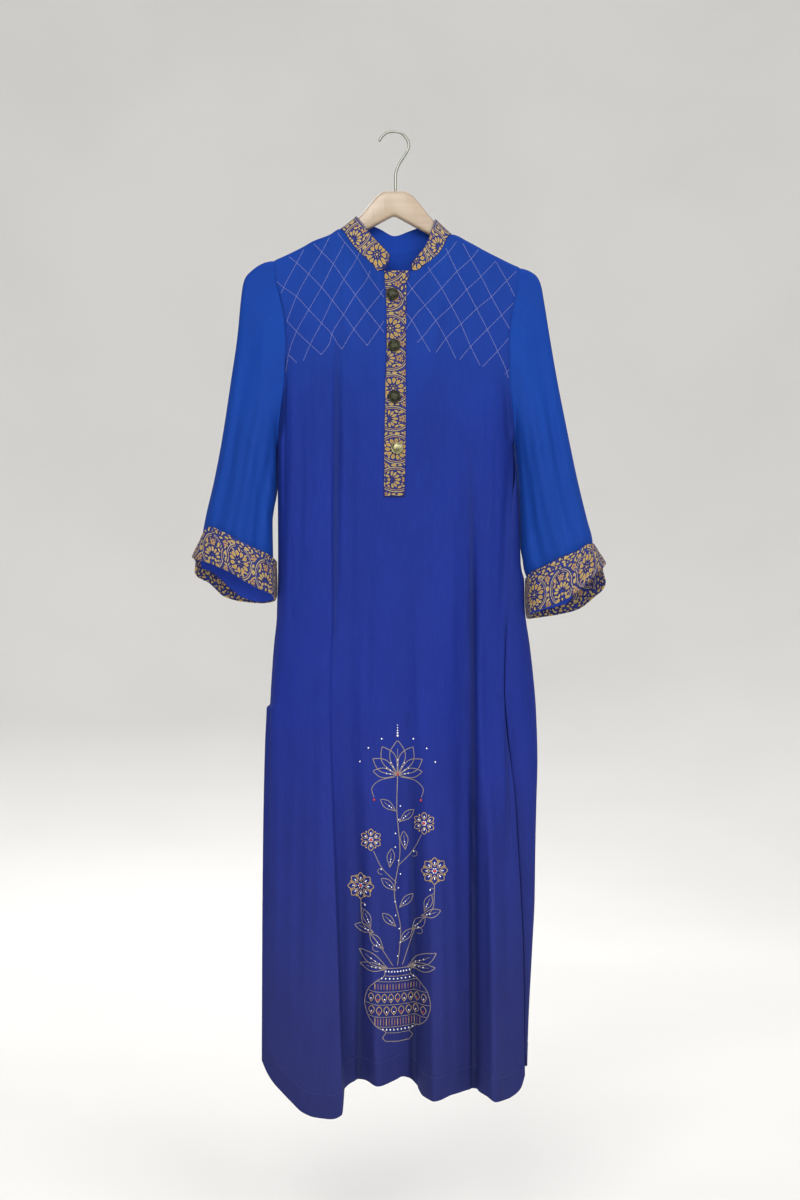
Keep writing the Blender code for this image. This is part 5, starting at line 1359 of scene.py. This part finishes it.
COLLAR_STEP = 0.62      # distance of the columns along the neck
COLLAR_END_REACH = 13.0     # length over which the ends take their own shape
COLLAR_LIFT = 0.3       # the outer face stands off the neck's edge by this
ROLL, ROLL_FOOT = 4.6, -127.0   # width of the rolled edge in front, and where it ends below


def by_length(points, step):
    lengths = running(points)
    share = np.linspace(0.0, 1.0, int(lengths[-1] / step) + 1)
    at = share * lengths[-1]
    return np.stack([np.interp(at, lengths, points[:, k]) for k in range(3)], axis=1), share


def collar():
    ease = (1.0 - np.cos(np.linspace(0.0, math.pi, 900))) / 2.0
    low, high = [], []
    for start, end, depth, top, line in (
            (NECK_FRONT_LEFT[-1][0], NECK_X[0], neck_front_depth, front_top,
             COLLAR_TOP_FRONT_LEFT),
            (*NECK_X, neck_back_depth, back_top, COLLAR_TOP_BACK),
            (NECK_X[1], NECK_FRONT_RIGHT[0][0], neck_front_depth, front_top,
             COLLAR_TOP_FRONT_RIGHT)):
        xs = lerp(start, end, ease)
        bottom, share = by_length(np.stack([xs, depth(xs), top(xs)], axis=-1), COLLAR_STEP)
        first = 1 if low else 0
        low.append(bottom[first:])
        high.append(path(line)(share)[first:])
    low, high = np.vstack(low), np.vstack(high)
    v = np.concatenate([np.linspace(0.0, 0.955, 34), [0.966, 0.976, 0.985, 0.993, 1.0]])
    low[:, 2] -= 0.2 * smoothstep(2.0, 8.0, low[:, 1])
    grid = lerp(low[:, None], high[:, None], v[None, :, None])
    run = running(low)
    for k, side, reach in ((0, "left", run), (-1, "right", run[-1] - run)):
        weight = smoothstep(COLLAR_END_REACH, 0.0, reach)[:, None]
        for axis, line in zip((0, 2), zip(*COLLAR_END[side])):
            shape = hermite(np.linspace(0.0, 1.0, len(line)), line, v) - grid[k, :, axis]
            shape[0] = 0.0
            grid[..., axis] += weight * shape[None, :]
    way = grid_normals(grid, (len(low) // 2, 18), (0, 1, 0))
    u = np.broadcast_to(run[:, None], grid.shape[:2])
    w = along(grid, 1)
    from_top, from_end = w[:, -1:] - w, np.minimum(u, run[-1] - u)
    half = BAND / 2 * rounded(np.minimum(from_top, from_end * 0.7 + 0.05) / 0.75, 0.15)
    to_front = smoothstep(6.0, -2.0, low[:, 1])[:, None]
    height = (ridges(from_top, COLLAR_EDGE) + ridges(w, COLLAR_SEAM) * to_front
              + 0.18 * np.sin(u / 7.3) * smoothstep(0, 9, w))
    # two plain lines along the rolled edge, and its print turned in beside the opening
    lines = np.abs(np.abs(from_top - 2.7) - 1.25) - 0.5
    rolled = (from_top < ROLL) & (grid[..., 2] > ROLL_FOOT) & (grid[..., 1] < 0.0)
    border = np.minimum(np.minimum(from_top, w), from_end)
    values = {"cloth_mm": cloth_at(u, w),
              **print_values(u + 3.0, w + 12.5, border, (lines, rolled))}
    inside = (from_top >= 3.2 * smoothstep(75.0, 25.0, from_end))[:-1, :-1].astype(int)
    mid = grid + way * (height - BAND / 2 + COLLAR_LIFT)[..., None]
    return band("kurti_collar", mid, way, half, [print_blue, cloth_inside_lit], values,
                face_mats=(np.zeros_like(inside), inside))


collar_band = collar()

# Placket: a printed band laid on the front

PLACKET_MIDDLE = 0.75   # the band's middle lies this far over its lift
CORNER_OUT = {"left": (-2.0, -0.4, 0.0), "right": (4.4, -1.2, 0.0)}


def placket():
    s = np.linspace(*(solve_share(x, front_top) for x in PLACKET_X), 48)
    z_top = column_tops(s, front_top, front_across)[1][:, None]
    share = np.concatenate([[0.0, 0.0008, 0.0016, 0.0026], np.linspace(0.004, 0.996, 470),
                            [0.9974, 0.9984, 0.9992, 1.0]])
    z = lerp(z_top, NECK_FRONT_LEFT[-1][1] - PLACKET_LENGTH, share[None, :])
    grid = front_surface(np.broadcast_to(s[:, None], z.shape), z, z_top - z)
    way = grid_normals(grid, (20, 100), (0, -1, 0))
    u, w = along(grid, 0), along(grid, 1)
    edge = np.minimum(np.minimum(u, u[-1:] - u), w[:, -1:] - w + 0.1)
    height = creases(grid[..., 0], grid[..., 2], FRONT_CREASES)
    height += PLACKET_PUCKER * uneven(w, 5.7, 1.5, 31.0) * bell(edge, PLACKET_PUCKER_REACH)
    height += ridges(edge, PLACKET_GROOVE)
    # the top corners stand out a little past the edge
    share = u / u[-1:]
    bulge = smoothstep(21.0, 3.0, w) * smoothstep(0.35, 1.0, share)
    grid = grid + np.array(CORNER_OUT["right"]) * bulge[..., None]
    bulge = smoothstep(26.0, 6.0, w) * smoothstep(0.5, 0.0, share)
    grid = grid + np.array(CORNER_OUT["left"]) * bulge[..., None]
    values = {"cloth_mm": cloth_at(u, w), **print_values(w + 22.0, u + 8.0, edge)}
    half = PLACKET_WALL / 2 * rounded(2.0 * edge / PLACKET_WALL, 0.12)
    mid = grid + way * (height + PLACKET_LIFT + PLACKET_MIDDLE)[..., None]
    return band("kurti_placket", mid, way, half, [print_placket], values)


placket_band = placket()

# Buttons, hanger and hook

BUTTON_LINE = [(3.0, -1.0), (3.0, 0.35), (7.1, 0.35), (7.6, 0.55), (7.9, 0.95), (8.0, 1.45),
               (7.9, 1.95), (7.55, 2.35), (7.1, 2.5), (6.7, 2.42), (6.4, 2.3), (6.1, 2.42),
               (5.6, 2.75), (4.6, 3.12), (3.4, 3.38), (2.0, 3.5), (0.8, 3.54)]
GOLDEN_BUTTON = "button_4"
BUTTON_SEAT, BUTTON_SIDES = 0.1, 56
HANGER_TAPER, TIP_ROUND = 14.0, 3.4     # lengths in which the arms' ends thin out and round off
HOOK_TIP, HOOK_RINGS, HOOK_SIDES = 1.7, 150, 20


def lathe(base, normal, profile, sides):
    """Vertices and faces of a round body on the axis through its base."""
    side = np.cross([0.0, 0.0, 1.0], normal)
    side /= np.linalg.norm(side)
    a = np.linspace(0.0, math.tau, sides, endpoint=False)
    ring = np.cos(a)[:, None] * side + np.sin(a)[:, None] * np.cross(normal, side)
    rows = [base + ring * radius + normal * height for radius, height in profile]
    verts = np.vstack([base[None], *rows, (base + normal * profile[-1][1])[None]])
    tip = len(verts) - 1
    last = tip - sides
    faces = []
    for k in range(sides):
        n = (k + 1) % sides
        faces.append([0, 1 + n, 1 + k])
        faces += [[p + k, p + n, p + sides + n, p + sides + k] for p in range(1, last, sides)]
        faces.append([last + k, last + n, tip])
    return verts, faces


placket_skin = Skin(placket_band)
buttons = {}
for name, x, z in BUTTON_ROWS:
    base, normal = placket_skin.at(x, z)
    verts, faces = lathe(base + normal * BUTTON_SEAT, normal, BUTTON_LINE, BUTTON_SIDES)
    buttons[name] = mesh_object("kurti_" + name, verts, faces,
                                [golden if name == GOLDEN_BUTTON else bronze_painted_dark], sharp=40.0)


def hanger():
    xs, tops = zip(*HANGER_TOP)
    stations = np.unique(np.concatenate([np.linspace(xs[0], xs[-1], 190), xs]))
    high = hermite(xs, tops, stations)
    low = eased(np.interp(stations, *zip(*HANGER_UNDER)), 3)
    tip = np.minimum(stations - stations[0], stations[-1] - stations)
    half = HANGER_THICK / 2 * (0.72 + 0.28 * np.minimum(1.0, tip / HANGER_TAPER))
    inset = TIP_ROUND * (1.0 - rounded(tip / TIP_ROUND))
    rings = []
    for x, top, under, w, i in zip(stations, high, low, half, inset):
        w, top, under = w - i * 0.6, top - i * 0.7, under + i * 0.7
        r = min(HANGER_ROUND, w - 0.05, (top - under) / 2 - 0.05)
        rings.append([(x, *polar(cy, cz, math.radians(start + step), r))
                      for cy, cz, start in ((w - r, top - r, 0), (-w + r, top - r, 90),
                                            (-w + r, under + r, 180), (w - r, under + r, 270))
                      for step in (0, 18, 36, 54, 72, 90)])
    return rod("hanger_wooden", rings, [wood("hanger_wood")])


def hook():
    line = eased(path(HOOK_LINE)(np.linspace(0.0, 1.0, HOOK_RINGS)), 8)
    tangent = np.gradient(line, axis=0)
    tangent /= np.linalg.norm(tangent, axis=1, keepdims=True)
    r = HOOK_WIRE_DIA / 2 * np.maximum(math.sqrt(0.02), rounded(running(line) / HOOK_TIP))
    r = r[:, None]
    a = np.linspace(0.0, math.tau, HOOK_SIDES, endpoint=False)
    rings = np.stack([line[:, :1] + tangent[:, 1:] * r * np.cos(a), r * np.sin(a),
                      line[:, 1:] - tangent[:, :1] * r * np.cos(a)], axis=-1)
    return rod("hanger_wire_hook", rings, [steel])


hanger_wood = hanger()
hanger_hook = hook()


# Stitched diamonds on both yokes: lines by their place in the 800 x 1200 frame

YOKE_STITCHES = [
    # left yoke, falling to the right
    [(337, 230), (344.5, 240), (357, 256), (368.5, 275), (381, 293), (384, 297)],
    [(313, 241), (321.3, 249.5), (333, 262), (343.8, 278), (355.3, 294.3), (367.2, 310.8),
     (380, 327.5), (384, 333)],
    [(288, 254), (296, 260.5), (308, 272), (321.3, 286), (332.2, 299.8), (343.5, 314.5),
     (354, 329.5), (367.2, 346)],
    [(276, 279.5), (283, 285.5), (296, 295), (308.5, 309), (321.5, 323), (332, 334.5),
     (337, 343), (342, 349.5)],
    [(286.5, 320), (296.5, 331), (310.3, 344.8), (321.5, 355)],
    [(289, 355), (297, 363)],
    # left yoke, rising to the right
    [(303, 247), (296, 260.5), (283, 285.5), (280.5, 291.5)],
    [(329, 234.5), (321.3, 249.5), (308, 272), (296, 295), (286.5, 320)],
    [(344.5, 240), (333, 262), (321.3, 286), (308.5, 309), (296.5, 331), (289, 352),
     (285.5, 372)],
    [(359, 252), (356, 258), (343.8, 278), (332.2, 299.8), (321.5, 323), (310.3, 344.8),
     (303.5, 361)],
    [(370, 270), (368.5, 275), (355.3, 294.3), (343.5, 314.5), (332, 334.5), (330, 343),
     (321.5, 355)],
    [(383.5, 289), (381, 293), (367.2, 310.8), (354, 329.5), (342, 349.5)],
    [(384, 321), (380, 327.5), (367.2, 346)],
    [(272.5, 263), (270.8, 268)],
    # right yoke, rising to the right
    [(405.5, 297.5), (412, 288.5), (430, 269), (448, 251), (457, 239)],
    [(406.5, 329), (411.5, 321), (416, 314.5), (425, 305), (442, 287), (457, 270),
     (471.5, 256.5), (479, 247)],
    [(417, 343), (422, 338), (436, 320.5), (451.5, 305.8), (467, 288.5), (481.5, 274.5),
     (496.5, 258.5)],
    [(436, 353), (446, 339), (461, 324), (477, 308), (492, 295), (507.5, 278.5), (517, 269)],
    [(459.5, 360), (470.5, 347), (487.5, 329), (502, 314), (514.5, 301)],
    [(482.5, 367), (497.5, 351), (509, 337.5)],
    [(505, 374.5), (507, 371.8), (510.5, 368)],
    # right yoke, falling to the right
    [(407, 281), (412, 288.5), (425, 305), (436, 321), (446, 339.5), (455.5, 359)],
    [(428, 266), (442, 287.5), (451.5, 305.8), (461, 324.5), (470.5, 347), (480, 366)],
    [(446, 246), (448, 250), (457, 269), (467, 288.5), (477, 308.5), (487.5, 329.5),
     (497.5, 351), (507, 372), (508.5, 378)],
    [(463.5, 241), (471.5, 256.5), (481.5, 274.5), (492, 295.5), (502, 314), (510, 328)],
    [(497, 260), (507.5, 278.5), (515.5, 294.5)],
    [(406, 313), (412, 321), (422, 338.5), (430, 352)],
]
CAMERA = (7.15, -2600.0, -607.1)        # place in mm
FRAME_MIDDLE = (400.0, 600.0)
MM_PER_PIXEL = 1.3                      # on the plane through the hanger
YOKE_DEPTH = -28.0


def seen(points, y):
    """(x, z) in mm of places in the frame, on the plane at depth y."""
    k = MM_PER_PIXEL * (y - CAMERA[1]) / -CAMERA[1]
    return [(CAMERA[0] + (px - FRAME_MIDDLE[0]) * k, CAMERA[2] + (FRAME_MIDDLE[1] - py) * k)
            for px, py in points]


front_skin = Skin(front)
quilting = Heap()
for line in YOKE_STITCHES:
    add_stitches(quilting, *front_skin.line(seen(line, YOKE_DEPTH), step=0.9, lift=0.18),
                 long=3.1, gap=0.35, half_wide=0.36, half_high=0.24)
quilt = quilting.make("kurti_yoke_stitches", [thread("stitch_pink", (0.155, 0.170, 0.40), 0.55)])

# Large motif low on the front: a flowering plant in cords and beads

BLOOM = Heap()
PLANT_X, PLANT_FOOT = 4.0, -1171.0
POT_SIDE = [(15, 0), (19, 5), (15, 11), (27, 20), (38, 34), (42, 50), (38, 66), (27, 78),
            (17, 84), (16, 89), (23, 94)]       # half width, height
POT_HIGH = 94
SAG = 0.10              # by which the pot's bands hang, as a share of their half width
CORD, PEARL, RED, MAUVE, GOLD_CORD = range(5)


def cord_line(points, wide=0.78, mat=CORD):
    pts, ways = front_skin.line(points, step=1.9, lift=0.22)
    if len(pts) > 2:
        BLOOM.add(*tube(pts, ways, half_wide=wide * 0.66, half_high=0.36, sides=6), mat)


def bead(x, z, r, mat=PEARL):
    found = front_skin.at(x, z)
    if found:
        BLOOM.add(BALL * r * np.array([1.0, 0.62, 1.0]) + found[0] + found[1] * r * 0.25,
                  BALL_FACES, mat)


def leaf(x, z, turn, long, wide, vein=True, beads=0, mat=CORD):
    """Pointed leaf from its foot; turn in degrees, 0 to the right, 90 up."""
    a = math.radians(turn)
    down = np.linspace(0.0, 1.0, 9)
    t = np.concatenate([down, down[-2::-1]])
    off = np.where(np.arange(len(t)) < 9, 0.5, -0.5) * wide * np.sin(math.pi * t ** 1.25)
    cord_line([(x + math.cos(a) * long * k - math.sin(a) * o,
                z + math.sin(a) * long * k + math.cos(a) * o) for k, o in zip(t, off)], mat=mat)
    if vein:
        cord_line([polar(x, z, a, long * k) for k in (0.08, 0.35, 0.62, 0.78)], 0.55)
    for k in range(beads):
        bead(*polar(x, z, a, long * (0.30 + 0.14 * k)), 1.0)


def bloom_ring(x, z, r, petals):
    for k in range(petals):
        turn = 360.0 * k / petals + 90.0
        leaf(*polar(x, z, math.radians(turn), r * 0.30), turn, r * 0.70, r * 0.46, vein=False,
             beads=2, mat=GOLD_CORD)
    for k in range(petals):
        bead(*polar(x, z, math.tau * (k + 0.5) / petals + math.pi / 2, r * 0.82), 1.25, GOLD_CORD)
    for k in range(6):
        bead(*polar(x, z, math.tau * k / 6, r * 0.17), 1.05)
    bead(x, z, 2.1, RED)


def lotus(x, z, r):
    """Half-open lotus seen from the side."""
    for turn, long, wide in ((90, 1.0, 0.46), (62, 0.94, 0.42), (118, 0.94, 0.42),
                             (34, 0.86, 0.36), (146, 0.86, 0.36), (10, 0.72, 0.28),
                             (170, 0.72, 0.28)):
        leaf(x, z, turn, long * r, wide * r, vein=turn == 90, beads=2)
    for k in range(7):
        bead(*polar(x, z, math.radians(20 + k * 140 / 6), r * 1.16), 1.2)
    bead(x, z + 1.5, 1.9, RED)


def curl(x, z, turn, size, flip):
    t = math.radians(turn)
    cx, cz = polar(x, z, t + flip * 1.57, size)
    pts = [polar(cx, cz, t + flip * (s - 1.57), size * math.exp(-0.30 * s))
           for s in np.linspace(0.0, 4.4, 14)]
    cord_line(pts, 0.6)
    bead(*pts[-1], 1.2)


def pot(x0, foot):
    """Round pot with banded sides; foot is its lowest z."""
    for way in (-1, 1):
        cord_line([(x0 + way * w, foot + h) for w, h in POT_SIDE], 0.85)
    wide_at = curve([(h, w) for w, h in POT_SIDE])

    def place(t, h, w):
        return x0 + t * w, foot + h - SAG * w * (1.0 - t * t)

    for h in (0, POT_HIGH):
        w = float(wide_at(h))
        cord_line([(x0 - w, foot + h), (x0, foot + h - 1.5), (x0 + w, foot + h)], 0.8)
    for h in (11, 20, 34, 50, 66, 78, 84):
        w = float(wide_at(h)) - 0.5
        cord_line([place(t, h, w) for t in (-1.0, -0.5, 0.0, 0.5, 1.0)], 0.62)
    # bands: upright dashes, petals and rows of beads
    for low, high, count, petals in ((20, 34, 17, False), (34, 50, 8, True),
                                     (50, 66, 9, True), (66, 78, 16, False)):
        w = float(wide_at((low + high) / 2)) - 3.0
        for k in range(count):
            x, z = place((k + 0.5) / count * 2.0 - 1.0, low, w)
            if petals:
                leaf(x, z + 2.2, 90, high - low - 4.5, w / count * 1.5, vein=False, mat=GOLD_CORD)
                bead(x, z + 6.5, 1.1, RED if k % 3 == 1 else PEARL)
            else:
                cord_line([(x, z + 2.0), (x, z + (high - low) / 2), (x, z + high - low - 2.4)],
                          0.9, (GOLD_CORD, MAUVE, CORD, MAUVE)[k % 4])
    for h in (15.5, 81.0, 89.5):
        for k in range(9):
            bead(*place(k / 4.0 - 1.0, h, float(wide_at(h)) - 1.0), 1.25)


def plant(x0, foot):
    pot(x0, foot)
    rim = foot + POT_HIGH

    def stem(points, way, lift, wide):
        cord_line([(x0 + way * dx, rim + dz + lift) for dx, dz in points], wide)

    # mango leaves over the rim
    for turn, long in ((8, 36), (172, 36), (32, 44), (148, 44)):
        leaf(x0 + math.copysign(12, 90 - turn), rim - 1, turn, long, long * 0.30, beads=3)
    # middle stem and two bowed side stems
    stem([(0, 2), (4, 45), (-4, 95), (3, 150), (-1, 205), (0, 246)], 1, 0, 0.9)
    for way, lift in ((-1, 0), (1, 22)):
        cord_line([(x0 + way * 6, rim + 2), (x0 + way * 26, rim + 34 + lift),
                   (x0 + way * 46, rim + 62 + lift), (x0 + way * 47, rim + 88 + lift)], 0.8)
        bloom_ring(x0 + way * 47, rim + 104 + lift, 17.0, 8)
        stem([(1, 108), (20, 128), (31, 150)], way, lift, 0.75)
        bloom_ring(x0 + way * 34, rim + 164 + lift, 14.0, 6)
        for turn, dx, dz, long in ((50, 18, 24, 27), (18, 30, 46, 26), (68, 34, 52, 24),
                                   (96, 10, 128, 24)):
            leaf(x0 + way * dx, rim + dz + lift, turn if way > 0 else 180 - turn, long,
                 long * 0.40, beads=2)
        for dx, dz, turn, size in ((24, 22, -35, 7.0), (44, 74, 10, 6.0), (19, 120, -30, 6.0)):
            curl(x0 + way * dx, rim + dz + lift, turn if way > 0 else 180 - turn, size, way)
    for z, turn in ((30, 48), (52, 134), (76, 44), (98, 138), (186, 40), (200, 142)):
        leaf(x0 + (2 if turn < 90 else -2), rim + z, turn, 25, 9.5, beads=2)
    for k in range(12):
        bead(x0 + 3.6 * math.sin(k * 1.3), rim + 14 + 17.5 * k, 1.15)
    lotus(x0, rim + 246, 44.0)
    for way in (-1, 1):
        stem([(3, 244), (22, 240), (33, 228), (30, 218)], way, 0, 0.7)
        bead(x0 + way * 30, rim + 215, 1.7, RED)
    for k in range(5):
        bead(x0, rim + 296.5 + 3.4 * k, 1.5 - 0.16 * k)


plant(PLANT_X, PLANT_FOOT)
motif = BLOOM.make("kurti_front_motif", [
    thread("motif_cord", (0.265, 0.215, 0.190)),
    Nodes("motif_silver_beads").finish((0.80, 0.82, 0.86, 1.0), Roughness=0.24, Metallic=0.65),
    Nodes("motif_red").finish((0.42, 0.02, 0.03, 1.0), Roughness=0.4),
    thread("motif_mauve", (0.30, 0.105, 0.09)),
    thread("motif_gold", (0.44, 0.29, 0.10), 0.42)])

# Hem stitches in blue thread

EDGE_COLUMNS = 4        # columns without a stitch at both ends of a hem
HEM_ROWS = (31, 67)     # rows below the slit top: searched from, and least row of a stitch
SEWN_LIFT = 0.02


def hem_line(face, way, hems):
    """Points and normals along the inner line of the turned bottom hem."""
    picks = []
    for i in range(EDGE_COLUMNS, len(hems) - EDGE_COLUMNS):
        turned = np.nonzero(hems[i, SLIT_ROW + HEM_ROWS[0]:] > 0.5)[0]
        if len(turned) and turned[0] >= HEM_ROWS[1] - HEM_ROWS[0]:
            picks.append((i, SLIT_ROW + HEM_ROWS[0] + turned[0]))
    i, j = np.array(picks).T
    return face[i, j] + way[i, j] * SEWN_LIFT, way[i, j]


hem_sewing = Heap()
for panel_cloth in (front_cloth, back_cloth):
    add_stitches(hem_sewing, *hem_line(*panel_cloth), long=2.6, gap=1.6, half_wide=0.32,
                 half_high=0.22)
hem_thread = hem_sewing.make("kurti_hem_stitches", [thread("stitch_blue", (0.012, 0.022, 0.15))])

# Hide the imported solids that these pieces stand in for

for piece, node in ((front, "front_panel"), (back, "back_panel"),
                    *((sleeves[side], "sleeve_" + side) for side in SIDES),
                    *((cuffs[side], "cuff_" + side) for side in SIDES),
                    (collar_band, "collar_band"), (placket_band, "placket"),
                    *((made, name) for name, made in buttons.items()),
                    (hanger_wood, "hanger_body"), (hanger_hook, "hanger_hook")):
    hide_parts(node)

# Camera, room and light, in metres

FLOOR, WALL_RADIUS, WALL_BEND, WALL_TOP, WALL_SIDES = -1.46, 7.2, 4.3, 3.0, 72

camera_data = bpy.data.cameras.new("photo_camera")
camera_data.lens = 60.0
camera_data.sensor_width = 36.0
camera = bpy.data.objects.new("photo_camera", camera_data)
camera.location = tuple(c / 1000.0 for c in CAMERA)
camera.rotation_euler = (math.pi / 2, 0.0, 0.0)
bpy.context.collection.objects.link(camera)
bpy.context.scene.camera = camera


def backdrop():
    """Pale floor that curves up into a round wall, well outside the camera's place."""
    n = Nodes("pale_backdrop")
    soft = n.noise(n.place(), (1.2, 1.2, 1.2))
    mat = n.finish(n.mix(n.ramp(soft, 0.3, 0.7), (0.74, 0.725, 0.70), (0.77, 0.755, 0.73)),
                   Roughness=0.9)
    line = [(1.0, FLOOR), (2.0, FLOOR)]
    line += [polar(WALL_RADIUS - WALL_BEND, FLOOR + WALL_BEND, a, WALL_BEND)
             for a in np.linspace(-math.pi / 2, 0.0, 16)]
    line.append((WALL_RADIUS, WALL_TOP))
    verts = [(0.0, 0.0, FLOOR)]
    for i in range(WALL_SIDES):
        verts += [(*polar(0.0, 0.0, math.tau * i / WALL_SIDES, r), z) for r, z in line]
    k = len(line)
    faces = []
    for i in range(WALL_SIDES):
        one, two = 1 + i * k, 1 + (i + 1) % WALL_SIDES * k
        faces.append((0, one, two))
        faces += [(one + j, one + j + 1, two + j + 1, two + j) for j in range(k - 1)]
    mesh = bpy.data.meshes.new("backdrop")
    mesh.from_pydata(verts, [], faces)
    mesh.materials.append(mat)
    mesh.polygons.foreach_set("use_smooth", np.ones(len(mesh.polygons), bool))
    obj = bpy.data.objects.new("backdrop", mesh)
    bpy.context.collection.objects.link(obj)
    return obj


def lamp(name, place, aim, size, power, tint=(1.0, 1.0, 1.0)):
    data = bpy.data.lights.new(name, "AREA")
    data.shape = "RECTANGLE"
    data.size, data.size_y = size
    data.energy = power
    data.color = tint
    obj = bpy.data.objects.new(name, data)
    obj.location = place
    obj.rotation_euler = (Vector(aim) - Vector(place)).to_track_quat("-Z", "Y").to_euler()
    obj.visible_camera = False
    bpy.context.collection.objects.link(obj)
    return obj


backdrop()
lamp("key", (-0.8, -3.5, 1.1), (0.0, 0.0, -0.5), (1.8, 1.8), 93.0, (1.0, 0.985, 0.965))
lamp("fill", (1.9, -3.1, 0.95), (0.0, 0.0, -0.6), (2.1, 1.8), 65.0, (0.97, 0.985, 1.0))
lamp("top", (0.2, -0.9, 2.5), (0.0, 0.0, -0.5), (2.0, 1.6), 26.0)
lamp("behind", (0.6, 1.2, 1.8), (0.0, 0.4, -0.6), (2.4, 1.2), 14.0)
lamp("back", (-0.9, 3.3, 1.3), (0.0, 0.0, -0.6), (2.0, 1.5), 60.0)
lamp("wall", (0.0, 1.1, 2.7), (0.0, 6.6, 0.2), (3.0, 1.0), 110.0)
world = bpy.data.worlds.new("pale_world")
world.use_nodes = True
world.node_tree.nodes["Background"].inputs["Color"].default_value = (0.86, 0.88, 0.92, 1.0)
world.node_tree.nodes["Background"].inputs["Strength"].default_value = 0.34
bpy.context.scene.world = world
bpy.context.scene.view_settings.view_transform = "Standard"
